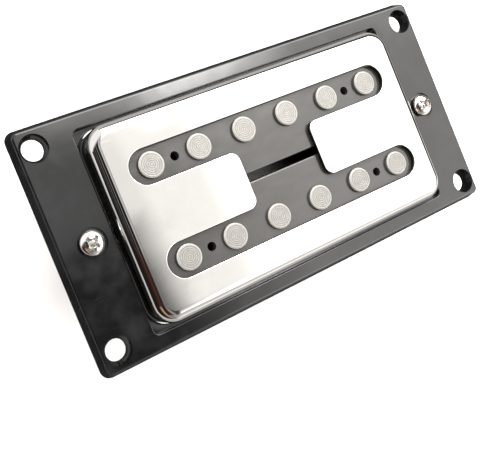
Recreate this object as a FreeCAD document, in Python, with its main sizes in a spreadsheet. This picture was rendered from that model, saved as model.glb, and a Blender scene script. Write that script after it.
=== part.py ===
"""Guitar pickup: a covered twin-coil pickup hung in its mounting ring.

Millimetres, +Z up. The origin lies in the plane of the ring's underside, at the middle of the ring.
X runs along the rows of poles, +Y towards the back row.
"""
import FreeCAD, Part
import math
import os
import Sketcher

# A sketch's own axes, with its origin at the start of the horizontal one, and the points of a curve.
H_AXIS, V_AXIS = range(-1, -3, -1)
ORIGIN = H_AXIS
START, END, CENTRE = range(1, 4)
TOLERANCE = 1e-4

# Driving dimensions: alias, value in millimetres or degrees, meaning.
SIZES = [
    ("ring_thickness", 2.8, "height of the mounting ring"),
    ("ring_draft", 18.0, "lean of the ring's outer walls in degrees"),
    ("ring_corner", 1.9, "plan radius of the ring's outer corners at its foot"),
    ("ring_edge", 0.5, "rounding of the ring's upper outer edge"),
    ("ring_lip", 0.25, "rounding of the edge of the ring's opening"),
    ("ring_end_rail", 11.2, "width of the ring's end rails at the foot"),
    ("ring_side_rail", 3.75, "width of the ring's long rails at the foot"),
    ("opening_corner", 1.0, "corner radius of the ring's opening"),
    ("opening_gap_ends", 0.55, "gap between cover and ring at each end"),
    ("opening_gap_sides", 0.75, "gap between cover and ring at each long side"),
    ("corner_hole", 4.1, "diameter of the corner holes"),
    ("corner_sink", 5.3, "diameter of the corner holes' countersink"),
    ("corner_sink_depth", 1.3, "depth of the corner holes' countersink"),
    ("corner_inset_x", 3.9, "corner hole axis to the ring's end"),
    ("corner_inset_y", 4.4, "corner hole axis to the ring's long side"),
    ("recess_diameter", 5.8, "recess in the ring for a height screw's head"),
    ("recess_depth", 0.5, "depth of that recess"),
    ("ring_screw_play", 0.25, "radial play of a height screw in the ring"),
    ("cover_rise", 3.8, "cover's top above the ring's top"),
    ("cover_wall", 0.7, "sheet thickness of the cover"),
    ("cover_corner", 4.2, "plan radius of the cover's corners"),
    ("cover_edge", 2.2, "rounding of the cover's upper edge"),
    ("cover_lip", 0.25, "rounding round the cover's cut-out"),
    ("cover_gap_ends", 1.05, "gap from bobbin to cover at each end"),
    ("cover_gap_sides", 1.1, "gap from bobbin to cover at each long side"),
    ("cover_gap_top", 0.3, "gap from bobbin to the cover's ceiling"),
    ("slot_width", 6.5, "width of the two long slots in the cover"),
    ("slot_end", 4.3, "end of a slot beyond the last pole's axis"),
    ("window_width", 16.4, "width of the middle window between the slots"),
    ("tongue_corner", 2.0, "corner radius of the tongues beside the window"),
    ("pole_count", 6.0, "poles in a row"),
    ("pole_pitch", 10.0, "distance between neighbouring poles"),
    ("pole_diameter", 4.9, "diameter of a pole slug"),
    ("pole_clearance", 1.05, "slug's lower end above the baseplate"),
    ("pole_chamfer", 0.25, "chamfer on both ends of a slug"),
    ("pole_stand", 0.9, "slug's top above the bobbin"),
    ("pole_fit", 0.05, "radial clearance of a slug in its bore"),
    ("bobbin_height", 10.2, "overall height of a bobbin"),
    ("bobbin_width", 16.4, "width of the bobbin flanges"),
    ("bobbin_gap", 1.6, "gap between the two bobbins"),
    ("bobbin_end", 8.0, "flange end beyond the last pole's axis"),
    ("bobbin_corner", 6.5, "corner radius of the flanges"),
    ("bobbin_edge", 0.3, "rounding of the top flange's upper edge"),
    ("flange_top", 1.2, "thickness of the top flange"),
    ("flange_bottom", 1.0, "thickness of the bottom flange"),
    ("core_wall", 0.85, "wall of the bobbin's core beside a bore"),
    ("coil_fit", 0.1, "clearance of the coil to core and flanges"),
    ("coil_build", 3.7, "radial thickness of the winding"),
    ("tape_fit", 0.05, "clearance between winding and tape"),
    ("tape_thickness", 0.25, "thickness of the tape wrap"),
    ("magnet_end", 6.0, "magnet's end beyond the last pole's axis"),
    ("magnet_thickness", 3.2, "thickness of the bar magnet"),
    ("magnet_fit", 0.1, "clearance of the magnet to each row of slugs"),
    ("spacer_end", 0.5, "spacer's end beyond the last pole's axis"),
    ("spacer_width", 4.4, "width of the spacer strips"),
    ("spacer_fit", 0.15, "clearance between spacer and slugs"),
    ("plate_thickness", 1.0, "sheet thickness of the baseplate"),
    ("plate_fit", 0.1, "clearance of the baseplate in the cover"),
    ("plate_bend", 1.0, "inner radius of the baseplate's bends"),
    ("leg_width", 12.7, "width of the bent legs"),
    ("leg_relief", 0.8, "slit beside a leg at its bend"),
    ("leg_drop", 6.5, "foot's underside below the baseplate"),
    ("foot_reach", 5.65, "leg's outer face to the height screw's axis"),
    ("foot_margin", 3.6, "height screw's axis to the end of the foot"),
    ("foot_corner", 3.5, "corner radius of a foot"),
    ("cable_hole", 4.5, "diameter of the cable exit in the baseplate"),
    ("cable_hole_x", 30.0, "cable exit from the middle, along the rows"),
    ("cable_hole_y", 13.4, "cable exit from the middle, across the rows"),
    ("bobbin_screw_diameter", 1.9, "shank of a bobbin screw"),
    ("bobbin_screw_length", 12.0, "length of a bobbin screw below its head"),
    ("bobbin_screw_head", 3.8, "head diameter of a bobbin screw"),
    ("bobbin_screw_head_height", 1.2, "head height of a bobbin screw"),
    ("bobbin_screw_round", 0.7, "rounding of a bobbin screw's head"),
    ("bobbin_screw_recess", 0.7, "depth of a bobbin screw's cross recess"),
    ("bobbin_screw_fit", 0.05, "radial clearance of a bobbin screw in the bobbin"),
    ("bobbin_screw_play", 0.25, "radial play of a bobbin screw in the baseplate"),
    ("bobbin_screw_end_play", 0.5, "bore left beyond a bobbin screw's tip"),
    ("bobbin_pilot_step", 0.125, "step from that bore to the small hole in the bobbin's top"),
    ("height_screw_diameter", 2.5, "shank of a height screw"),
    ("height_screw_length", 25.0, "length of a height screw below its head"),
    ("height_screw_head", 4.8, "head diameter of a height screw"),
    ("height_screw_head_height", 1.9, "head height of a height screw"),
    ("height_screw_round", 1.1, "rounding of a height screw's head"),
    ("height_screw_recess", 1.1, "depth of a height screw's cross recess"),
    ("height_screw_fit", 0.05, "radial clearance of a height screw in its foot"),
    ("screw_tip", 0.4, "chamfer at the tip of every screw"),
    ("recess_share", 0.62, "length of a cross recess over its head's diameter"),
    ("recess_slot_share", 0.16, "width of a cross recess over its head's diameter"),
    ("recess_lean", 6.0, "lean of a cross recess's walls in degrees"),
    ("spring_wire", 0.5, "wire diameter of a spring"),
    ("spring_diameter", 4.2, "mean diameter of a spring"),
    ("spring_turns", 9.0, "turns of a spring"),
    ("spring_end_pitch", 0.96, "rise of the first and of the last turn"),
    ("spring_seat", 0.15, "clearance of a spring to each of its seats"),
    ("bead_length", 3.4, "length of a solder bead along the skirt"),
    ("bead_width", 2.4, "width of a solder bead across the joint"),
    ("bead_height", 0.7, "height of a solder bead"),
]

# Sizes that follow from the driving ones: alias, formula, meaning.
FITS = [
    ("pole_span", "(Sizes.pole_count - 1) * Sizes.pole_pitch", "first to last pole of a row"),
    ("pole_reach", "pole_span / 2", "last pole's distance from the middle"),
    ("row_spacing", "Sizes.bobbin_width + Sizes.bobbin_gap", "distance between the two rows"),
    ("row_y", "row_spacing / 2", "row's distance from the middle"),
    ("bobbin_length", "pole_span + 2 * Sizes.bobbin_end", "length of a bobbin flange"),
    ("cavity_length", "bobbin_length + 2 * Sizes.cover_gap_ends", "inner length of the cover"),
    ("cavity_width", "row_spacing + Sizes.bobbin_width + 2 * Sizes.cover_gap_sides",
     "inner width of the cover"),
    ("cover_length", "cavity_length + 2 * Sizes.cover_wall", "outer length of the cover"),
    ("cover_width", "cavity_width + 2 * Sizes.cover_wall", "outer width of the cover"),
    ("cavity_depth",
     "Sizes.cover_gap_top + Sizes.bobbin_height + Sizes.magnet_thickness + Sizes.plate_thickness",
     "inner depth of the cover"),
    ("cover_depth", "cavity_depth + Sizes.cover_wall", "outer depth of the cover"),
    ("cavity_corner", "Sizes.cover_corner - Sizes.cover_wall", "inner plan radius of the cover"),
    ("slot_radius", "Sizes.slot_width / 2", "end radius of a slot"),
    ("slot_length", "pole_span + 2 * Sizes.slot_end", "length of a slot"),
    ("slot_span", "slot_length - Sizes.slot_width", "distance between a slot's end centres"),
    ("cover_top_z", "Sizes.ring_thickness + Sizes.cover_rise", "cover's top"),
    ("skirt_z", "cover_top_z - cover_depth", "cover's lower rim and baseplate's underside"),
    ("plate_top_z", "skirt_z + Sizes.plate_thickness", "baseplate's upper face"),
    ("bobbin_z", "plate_top_z + Sizes.magnet_thickness", "bobbins' underside"),
    ("bobbin_top_z", "bobbin_z + Sizes.bobbin_height", "bobbins' upper face"),
    ("pole_z", "plate_top_z + Sizes.pole_clearance", "slugs' lower end"),
    ("pole_length", "bobbin_top_z + Sizes.pole_stand - pole_z", "length of a pole slug"),
    ("opening_length", "cover_length + 2 * Sizes.opening_gap_ends", "length of the ring's opening"),
    ("opening_width", "cover_width + 2 * Sizes.opening_gap_sides", "width of the ring's opening"),
    ("ring_length", "opening_length + 2 * Sizes.ring_end_rail", "length of the ring at its foot"),
    ("ring_width", "opening_width + 2 * Sizes.ring_side_rail", "width of the ring at its foot"),
    ("corner_spacing_x", "ring_length - 2 * Sizes.corner_inset_x", "corner holes, along X"),
    ("corner_spacing_y", "ring_width - 2 * Sizes.corner_inset_y", "corner holes, along Y"),
    ("sink_angle",
     "2 * atan((Sizes.corner_sink - Sizes.corner_hole) / 2 / Sizes.corner_sink_depth)",
     "full angle of the countersink"),
    ("plate_length", "cavity_length - 2 * Sizes.plate_fit", "length of the baseplate"),
    ("plate_width", "cavity_width - 2 * Sizes.plate_fit", "width of the baseplate"),
    ("plate_corner", "cavity_corner - Sizes.plate_fit", "corner radius of the baseplate"),
    ("leg_face_x", "plate_length / 2", "leg's outer face"),
    ("leg_inner_x", "leg_face_x - Sizes.plate_thickness", "leg's inner face"),
    ("bend_outer", "Sizes.plate_bend + Sizes.plate_thickness", "outer radius of the bends"),
    ("leg_root_x", "leg_face_x - bend_outer", "start of the leg's bend"),
    ("relief_x", "leg_root_x - Sizes.leg_relief", "inner end of the reliefs at a bend"),
    ("relief_width", "Sizes.leg_width + 2 * Sizes.leg_relief", "relief at a leg's bend, along Y"),
    ("screw_x", "leg_face_x + Sizes.foot_reach", "height screw's axis"),
    ("screw_spacing", "2 * screw_x", "distance between the height screws"),
    ("foot_end_x", "screw_x + Sizes.foot_margin", "end of a foot"),
    ("foot_bottom", "-Sizes.leg_drop", "foot's underside from the baseplate's underside"),
    ("foot_top", "foot_bottom + Sizes.plate_thickness", "foot's upper face from there"),
    ("foot_top_z", "skirt_z + foot_top", "foot's upper face"),
    ("tapped_hole", "Sizes.height_screw_diameter + 2 * Sizes.height_screw_fit",
     "hole for a height screw in a foot"),
    ("ring_screw_hole", "Sizes.height_screw_diameter + 2 * Sizes.ring_screw_play",
     "hole for a height screw in the ring"),
    ("head_seat_z", "Sizes.ring_thickness - Sizes.recess_depth", "seat of a height screw's head"),
    ("core_width", "Sizes.pole_diameter + 2 * Sizes.pole_fit + 2 * Sizes.core_wall",
     "width of a bobbin's core"),
    ("core_top", "Sizes.bobbin_height - Sizes.flange_top", "underside of the top flange"),
    ("pole_bore", "Sizes.pole_diameter + 2 * Sizes.pole_fit", "bore for a slug"),
    ("coil_inner", "core_width + 2 * Sizes.coil_fit", "inner width of a coil"),
    ("coil_outer", "coil_inner + 2 * Sizes.coil_build", "outer width of a coil"),
    ("coil_z", "bobbin_z + Sizes.flange_bottom + Sizes.coil_fit", "coil's underside"),
    ("coil_height", "core_top - Sizes.flange_bottom - 2 * Sizes.coil_fit", "height of a coil"),
    ("tape_inner", "coil_outer + 2 * Sizes.tape_fit", "inner width of a tape wrap"),
    ("tape_outer", "tape_inner + 2 * Sizes.tape_thickness", "outer width of a tape wrap"),
    ("magnet_width", "row_spacing - Sizes.pole_diameter - 2 * Sizes.magnet_fit",
     "width of the magnet between the rows"),
    ("magnet_length", "pole_span + 2 * Sizes.magnet_end", "length of the magnet"),
    ("spacer_length", "pole_span + 2 * Sizes.spacer_end", "length of the spacers"),
    ("spacer_y", "row_y + Sizes.pole_diameter / 2 + Sizes.spacer_fit", "inner face of a spacer"),
    ("bobbin_screw_x", "(Sizes.pole_count - 2) * Sizes.pole_pitch / 2",
     "bobbin screw, between the last two poles"),
    ("bobbin_screw_spacing", "2 * bobbin_screw_x", "distance between a bobbin's screws"),
    ("bobbin_bore", "Sizes.bobbin_screw_diameter + 2 * Sizes.bobbin_screw_fit",
     "bore for a bobbin screw in a bobbin"),
    ("bobbin_pilot", "bobbin_bore - 2 * Sizes.bobbin_pilot_step", "small holes in the bobbin's top"),
    ("bobbin_bore_depth",
     "Sizes.bobbin_screw_length + Sizes.bobbin_screw_end_play - Sizes.plate_thickness"
     " - Sizes.magnet_thickness",
     "depth of that bore"),
    ("plate_screw_hole", "Sizes.bobbin_screw_diameter + 2 * Sizes.bobbin_screw_play",
     "hole for a bobbin screw in the baseplate"),
    ("bobbin_screw_radius", "Sizes.bobbin_screw_diameter / 2", "shank radius of a bobbin screw"),
    ("bobbin_screw_tip_radius", "bobbin_screw_radius - Sizes.screw_tip", "its tip's radius"),
    ("bobbin_screw_shoulder", "Sizes.bobbin_screw_length - Sizes.screw_tip", "head to tip's chamfer"),
    ("bobbin_screw_head_radius", "Sizes.bobbin_screw_head / 2", "its head's radius"),
    ("bobbin_screw_cross", "Sizes.recess_share * Sizes.bobbin_screw_head", "length of its recess"),
    ("bobbin_screw_slot", "Sizes.recess_slot_share * Sizes.bobbin_screw_head", "width of its recess"),
    ("height_screw_radius", "Sizes.height_screw_diameter / 2", "shank radius of a height screw"),
    ("height_screw_tip_radius", "height_screw_radius - Sizes.screw_tip", "its tip's radius"),
    ("height_screw_shoulder", "Sizes.height_screw_length - Sizes.screw_tip", "head to tip's chamfer"),
    ("height_screw_head_radius", "Sizes.height_screw_head / 2", "its head's radius"),
    ("height_screw_cross", "Sizes.recess_share * Sizes.height_screw_head", "length of its recess"),
    ("height_screw_slot", "Sizes.recess_slot_share * Sizes.height_screw_head", "width of its recess"),
    ("bead_y", "(cover_width - Sizes.bead_width) / 2", "middle of a solder bead"),
]

doc = FreeCAD.newDocument("guitar_pickup")
sizes = doc.addObject("Spreadsheet::Sheet", "Sizes")
fits = doc.addObject("Spreadsheet::Sheet", "Fits")


def fill_sheet(sheet, rows):
    """Write alias, content and meaning of each row and name its content cell."""
    for number, (alias, content, meaning) in enumerate(rows, start=1):
        sheet.set("A%d" % number, alias)
        sheet.set("B%d" % number, content)
        sheet.set("C%d" % number, meaning)
        sheet.setAlias("B%d" % number, alias)


fill_sheet(sizes, [(alias, str(value), meaning) for alias, value, meaning in SIZES])
fill_sheet(fits, [(alias, "=" + formula, meaning) for alias, formula, meaning in FITS])
doc.recompute()

subparts = []


def value(cell):
    """Number in a named cell such as Sizes.pole_pitch, with an optional minus sign."""
    sign = -1.0 if cell.startswith("-") else 1.0
    sheet_name, alias = cell.lstrip("-").split(".")
    content = doc.getObject(sheet_name).get(alias)
    return sign * float(getattr(content, "Value", content))


def new_body(name, x=None, y=None, z=None):
    """Body with its own label and a placement that follows the named cells."""
    body = doc.addObject("PartDesign::Body", name)
    place(body, x, y, z)
    return body


def place(item, x=None, y=None, z=None):
    """Tie an object's placement to the named cells."""
    for axis, cell in (("x", x), ("y", y), ("z", z)):
        if cell:
            item.setExpression("Placement.Base." + axis, cell)


def keep(item, name):
    """Name a finished sub-part and list it for the files."""
    item.Label = name
    subparts.append(item)


def new_sketch(body, name, plane="XY_Plane", level=None):
    """Sketch on a plane of its own body, lifted to the height in a cell."""
    sketch = body.newObject("Sketcher::SketchObject", name)
    support = next(item for item in body.Origin.OriginFeatures if item.Role == plane)
    sketch.AttachmentSupport = [(support, "")]
    sketch.MapMode = "FlatFace"
    if level:
        sketch.setExpression("AttachmentOffset.Base.z", level)
    return sketch


def drive(sketch, constraint, name, cell):
    """Add a dimension to a sketch and bind it to a cell."""
    index = sketch.addConstraint(constraint)
    sketch.renameConstraint(index, name)
    sketch.setExpression("Constraints." + name, cell)


def add_circle(sketch, name, diameter, x=None, y=None):
    """Circle whose centre lies on the axes, or at the cells given."""
    place_x = value(x) if x else 0.0
    place_y = value(y) if y else 0.0
    circle = Part.Circle(FreeCAD.Vector(place_x, place_y, 0), FreeCAD.Vector(0, 0, 1), value(diameter) / 2)
    index = sketch.addGeometry(circle, False)
    drive(sketch, Sketcher.Constraint("Diameter", index, value(diameter)), name + "_diameter", diameter)
    for axis, kind, cell in ((V_AXIS, "DistanceX", x), (H_AXIS, "DistanceY", y)):
        if cell:
            constraint = Sketcher.Constraint(kind, ORIGIN, START, index, CENTRE, value(cell))
            drive(sketch, constraint, name + "_" + kind, cell)
        else:
            sketch.addConstraint(Sketcher.Constraint("PointOnObject", index, CENTRE, axis))


def add_circle_pair(sketch, name, diameter, spacing, y=None):
    """Two equal circles, evenly placed about the middle, on X or at the height of a cell."""
    reach = value(spacing) / 2
    level = value(y) if y else 0.0
    up = FreeCAD.Vector(0, 0, 1)
    left = sketch.addGeometry(Part.Circle(FreeCAD.Vector(-reach, level, 0), up, value(diameter) / 2), False)
    right = sketch.addGeometry(Part.Circle(FreeCAD.Vector(reach, level, 0), up, value(diameter) / 2), False)
    sketch.addConstraint(Sketcher.Constraint("Equal", left, right))
    sketch.addConstraint(Sketcher.Constraint("Symmetric", left, CENTRE, right, CENTRE, V_AXIS))
    drive(sketch, Sketcher.Constraint("Diameter", left, value(diameter)), name + "_diameter", diameter)
    drive(sketch, Sketcher.Constraint("DistanceX", left, CENTRE, right, CENTRE, 2 * reach),
          name + "_spacing", spacing)
    if y:
        drive(sketch, Sketcher.Constraint("DistanceY", ORIGIN, START, left, CENTRE, level), name + "_level", y)
    else:
        sketch.addConstraint(Sketcher.Constraint("PointOnObject", left, CENTRE, H_AXIS))


def add_rectangle(sketch, name, length, width):
    """Rectangle centred on the sketch's origin."""
    half_x = value(length) / 2
    half_y = value(width) / 2
    corners = [(-half_x, -half_y), (half_x, -half_y), (half_x, half_y), (-half_x, half_y)]
    lines = add_outline(sketch, corners)
    for index, kind in zip(lines, ("Horizontal", "Vertical", "Horizontal", "Vertical")):
        sketch.addConstraint(Sketcher.Constraint(kind, index))
    sketch.addConstraint(Sketcher.Constraint("Symmetric", lines[0], START, lines[2], START, ORIGIN, START))
    drive(sketch, Sketcher.Constraint("DistanceX", lines[0], START, lines[0], END, 2 * half_x),
          name + "_length", length)
    drive(sketch, Sketcher.Constraint("DistanceY", lines[1], START, lines[1], END, 2 * half_y),
          name + "_width", width)


def add_outline(sketch, corners):
    """Closed outline of straight lines through the corners; returns the lines' indices."""
    lines = []
    for here, there in zip(corners, corners[1:] + corners[:1]):
        segment = Part.LineSegment(FreeCAD.Vector(*here, 0), FreeCAD.Vector(*there, 0))
        lines.append(sketch.addGeometry(segment, False))
    for here, there in zip(lines, lines[1:] + lines[:1]):
        sketch.addConstraint(Sketcher.Constraint("Coincident", here, END, there, START))
    return lines


def add_profile(sketch, name, corners):
    """Closed outline whose corners are pairs of cells, with None for zero."""
    numbers = [tuple(value(cell) if cell else 0.0 for cell in corner) for corner in corners]
    lines = add_outline(sketch, numbers)
    for order, (index, corner) in enumerate(zip(lines, corners)):
        for axis, kind, cell in ((V_AXIS, "DistanceX", corner[0]), (H_AXIS, "DistanceY", corner[1])):
            if cell:
                constraint = Sketcher.Constraint(kind, ORIGIN, START, index, START, value(cell))
                drive(sketch, constraint, "%s_%s_%d" % (name, kind, order), cell)
            else:
                sketch.addConstraint(Sketcher.Constraint("PointOnObject", index, START, axis))


def add_rounded_rectangle(sketch, name, length, width, radius):
    """Rectangle with rounded corners, centred on the sketch's origin."""
    bend = value(radius)
    reach_x = value(length) / 2 - bend
    reach_y = value(width) / 2 - bend
    up = FreeCAD.Vector(0, 0, 1)
    arcs = []
    for quarter, (side_x, side_y) in enumerate(((1, 1), (-1, 1), (-1, -1), (1, -1))):
        circle = Part.Circle(FreeCAD.Vector(side_x * reach_x, side_y * reach_y, 0), up, bend)
        turn = quarter * math.pi / 2
        arcs.append(sketch.addGeometry(Part.ArcOfCircle(circle, turn, turn + math.pi / 2), False))
    lines = []
    for here, there in zip(arcs, arcs[1:] + arcs[:1]):
        first = sketch.getPoint(here, END)
        last = sketch.getPoint(there, START)
        lines.append(sketch.addGeometry(Part.LineSegment(first, last), False))
    for index, here, there in zip(lines, arcs, arcs[1:] + arcs[:1]):
        sketch.addConstraint(Sketcher.Constraint("Tangent", here, END, index, START))
        sketch.addConstraint(Sketcher.Constraint("Tangent", index, END, there, START))
    for index, kind in zip(lines, ("Horizontal", "Vertical", "Horizontal", "Vertical")):
        sketch.addConstraint(Sketcher.Constraint(kind, index))
    for other in arcs[1:]:
        sketch.addConstraint(Sketcher.Constraint("Equal", arcs[0], other))
    sketch.addConstraint(Sketcher.Constraint("Symmetric", arcs[0], CENTRE, arcs[2], CENTRE, ORIGIN, START))
    drive(sketch, Sketcher.Constraint("Radius", arcs[0], bend), name + "_radius", radius)
    drive(sketch, Sketcher.Constraint("DistanceX", arcs[1], END, arcs[0], START, value(length)),
          name + "_length", length)
    drive(sketch, Sketcher.Constraint("DistanceY", arcs[2], END, arcs[1], START, value(width)),
          name + "_width", width)


def add_obround(sketch, name, span, diameter, y=None):
    """Long round-ended shape: span between the end centres, diameter across."""
    reach = value(span) / 2
    bend = value(diameter) / 2
    level = value(y) if y else 0.0
    up = FreeCAD.Vector(0, 0, 1)
    right_circle = Part.Circle(FreeCAD.Vector(reach, level, 0), up, bend)
    left_circle = Part.Circle(FreeCAD.Vector(-reach, level, 0), up, bend)
    right = sketch.addGeometry(Part.ArcOfCircle(right_circle, -math.pi / 2, math.pi / 2), False)
    left = sketch.addGeometry(Part.ArcOfCircle(left_circle, math.pi / 2, 3 * math.pi / 2), False)
    for here, there in ((right, left), (left, right)):
        line = Part.LineSegment(sketch.getPoint(here, END), sketch.getPoint(there, START))
        index = sketch.addGeometry(line, False)
        sketch.addConstraint(Sketcher.Constraint("Tangent", here, END, index, START))
        sketch.addConstraint(Sketcher.Constraint("Tangent", index, END, there, START))
    sketch.addConstraint(Sketcher.Constraint("Equal", right, left))
    sketch.addConstraint(Sketcher.Constraint("Symmetric", left, CENTRE, right, CENTRE, V_AXIS))
    drive(sketch, Sketcher.Constraint("Diameter", right, 2 * bend), name + "_diameter", diameter)
    drive(sketch, Sketcher.Constraint("DistanceX", left, CENTRE, right, CENTRE, 2 * reach),
          name + "_span", span)
    if y:
        drive(sketch, Sketcher.Constraint("DistanceY", ORIGIN, START, right, CENTRE, level), name + "_level", y)
    else:
        sketch.addConstraint(Sketcher.Constraint("PointOnObject", right, CENTRE, H_AXIS))


def add_pad(body, sketch, length, both_ways=False, taper=None):
    """Raise a sketch by the length in a cell."""
    pad = body.newObject("PartDesign::Pad", sketch.Name + "_pad")
    pad.Profile = sketch
    pad.setExpression("Length", length)
    if both_ways:
        pad.SideType = "Symmetric"
    if taper:
        pad.setExpression("TaperAngle", taper)
    doc.recompute()
    return pad


def check_cut(body, cut, before):
    """Raise if a cut took nothing from its body."""
    doc.recompute()
    if not cut.Shape.Volume < before - TOLERANCE:
        raise RuntimeError("%s cuts nothing from %s" % (cut.Name, body.Name))


def add_pocket(body, sketch, length=None, upward=False, taper=None):
    """Cut a sketch out of its body: as deep as a cell says, or right through."""
    before = body.Tip.Shape.Volume
    pocket = body.newObject("PartDesign::Pocket", sketch.Name + "_pocket")
    pocket.Profile = sketch
    pocket.Reversed = upward
    if length:
        pocket.setExpression("Length", length)
    else:
        pocket.Type = "ThroughAll"
    if taper:
        pocket.setExpression("TaperAngle", taper)
    check_cut(body, pocket, before)
    return pocket


def add_hole(body, sketch, diameter, cut_type, cut_diameter, cut_depth=None, cut_angle=None):
    """Drill a sketch's circles right through, with a counterbore or a countersink."""
    before = body.Tip.Shape.Volume
    hole = body.newObject("PartDesign::Hole", sketch.Name + "_hole")
    hole.Profile = sketch
    hole.DepthType = "ThroughAll"
    hole.HoleCutType = cut_type
    hole.setExpression("Diameter", diameter)
    hole.setExpression("HoleCutDiameter", cut_diameter)
    if cut_depth:
        hole.setExpression("HoleCutDepth", cut_depth)
    if cut_angle:
        hole.setExpression("HoleCutCountersinkAngle", cut_angle)
    check_cut(body, hole, before)
    return hole


def edge_names(shape, wanted):
    """Names of a shape's edges that pass a test."""
    return ["Edge%d" % number for number, edge in enumerate(shape.Edges, start=1) if wanted(edge)]


def dress(body, kind, name, cell, wanted):
    """Round or chamfer the edges of a body's tip that pass a test."""
    base = body.Tip
    names = edge_names(base.Shape, wanted)
    if not names:
        raise RuntimeError("%s finds no edge on %s" % (name, body.Name))
    feature = body.newObject("PartDesign::" + kind, name)
    feature.Base = (base, names)
    feature.setExpression("Radius" if kind == "Fillet" else "Size", cell)
    doc.recompute()
    if feature.Shape.isNull():
        raise RuntimeError("%s fails on %s" % (name, body.Name))
    return feature


def add_shell(body, name, wall, wanted):
    """Hollow a body's tip to an even wall, open at the faces that pass a test."""
    base = body.Tip
    before = base.Shape.Volume
    faces = ["Face%d" % number for number, face in enumerate(base.Shape.Faces, start=1) if wanted(face)]
    shell = body.newObject("PartDesign::Thickness", name)
    shell.Base = (base, faces)
    shell.Mode = "Skin"
    shell.Join = "Arc"
    shell.Reversed = True
    shell.setExpression("Value", wall)
    doc.recompute()
    if shell.Shape.isNull():
        raise RuntimeError("%s fails on %s" % (name, body.Name))
    check_cut(body, shell, before)
    return shell


def at_level(edge, level):
    """True if an edge lies in the plane at a height."""
    box = edge.BoundBox
    return abs(box.ZMin - level) < TOLERANCE and abs(box.ZMax - level) < TOLERANCE


def is_upright(edge):
    """True if an edge is a straight line along Z."""
    box = edge.BoundBox
    return box.XLength < TOLERANCE and box.YLength < TOLERANCE and box.ZLength > TOLERANCE


def crosses_leg_at(edge, x, z):
    """True if an edge runs across a leg, through a point of the XZ plane."""
    box = edge.BoundBox
    flat = box.XLength < TOLERANCE and box.ZLength < TOLERANCE
    across = abs(box.YLength - value("Sizes.leg_width")) < TOLERANCE and abs(box.Center.y) < TOLERANCE
    return flat and across and abs(box.XMin - x) < TOLERANCE and abs(box.ZMin - z) < TOLERANCE


def make_ring():
    """Frame with leaning outer walls, an opening, countersunk corners and two screw recesses."""
    body = new_body("mounting_ring")
    outline = new_sketch(body, "ring_outline")
    add_rounded_rectangle(outline, "ring", "Fits.ring_length", "Fits.ring_width", "Sizes.ring_corner")
    add_pad(body, outline, "Sizes.ring_thickness", taper="-Sizes.ring_draft")
    top = value("Sizes.ring_thickness")
    dress(body, "Fillet", "ring_edge_round", "Sizes.ring_edge", lambda edge: at_level(edge, top))
    opening = new_sketch(body, "ring_opening", level="Sizes.ring_thickness")
    add_rounded_rectangle(opening, "opening", "Fits.opening_length", "Fits.opening_width",
                          "Sizes.opening_corner")
    add_pocket(body, opening)
    inside_x = value("Fits.opening_length") / 2 + TOLERANCE
    inside_y = value("Fits.opening_width") / 2 + TOLERANCE

    def round_the_opening(edge):
        box = edge.BoundBox
        near = max(-box.XMin, box.XMax) < inside_x and max(-box.YMin, box.YMax) < inside_y
        return at_level(edge, top) and near

    dress(body, "Fillet", "ring_lip_round", "Sizes.ring_lip", round_the_opening)
    corners = new_sketch(body, "ring_corners", level="Sizes.ring_thickness")
    add_corner_circles(corners)
    add_hole(body, corners, "Sizes.corner_hole", "Countersink", "Sizes.corner_sink",
             cut_angle="Fits.sink_angle")
    recesses = new_sketch(body, "ring_recesses", level="Sizes.ring_thickness")
    add_circle_pair(recesses, "recess", "Fits.ring_screw_hole", "Fits.screw_spacing")
    add_hole(body, recesses, "Fits.ring_screw_hole", "Counterbore", "Sizes.recess_diameter",
             cut_depth="Sizes.recess_depth")
    keep(body, "mounting_ring")


def add_corner_circles(sketch):
    """Four circles on a rectangle, for the ring's corner holes."""
    reach_x = value("Fits.corner_spacing_x") / 2
    reach_y = value("Fits.corner_spacing_y") / 2
    radius = value("Sizes.corner_hole") / 2
    up = FreeCAD.Vector(0, 0, 1)
    holes = []
    for side_x, side_y in ((1, 1), (-1, 1), (-1, -1), (1, -1)):
        centre = FreeCAD.Vector(side_x * reach_x, side_y * reach_y, 0)
        holes.append(sketch.addGeometry(Part.Circle(centre, up, radius), False))
    for other in holes[1:]:
        sketch.addConstraint(Sketcher.Constraint("Equal", holes[0], other))
    for here, there, axis in ((0, 1, V_AXIS), (3, 2, V_AXIS), (0, 3, H_AXIS)):
        sketch.addConstraint(Sketcher.Constraint("Symmetric", holes[here], CENTRE, holes[there], CENTRE, axis))
    drive(sketch, Sketcher.Constraint("Diameter", holes[0], 2 * radius), "hole_diameter", "Sizes.corner_hole")
    drive(sketch, Sketcher.Constraint("DistanceX", holes[1], CENTRE, holes[0], CENTRE, 2 * reach_x),
          "hole_spacing_x", "Fits.corner_spacing_x")
    drive(sketch, Sketcher.Constraint("DistanceY", holes[3], CENTRE, holes[0], CENTRE, 2 * reach_y),
          "hole_spacing_y", "Fits.corner_spacing_y")


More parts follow.
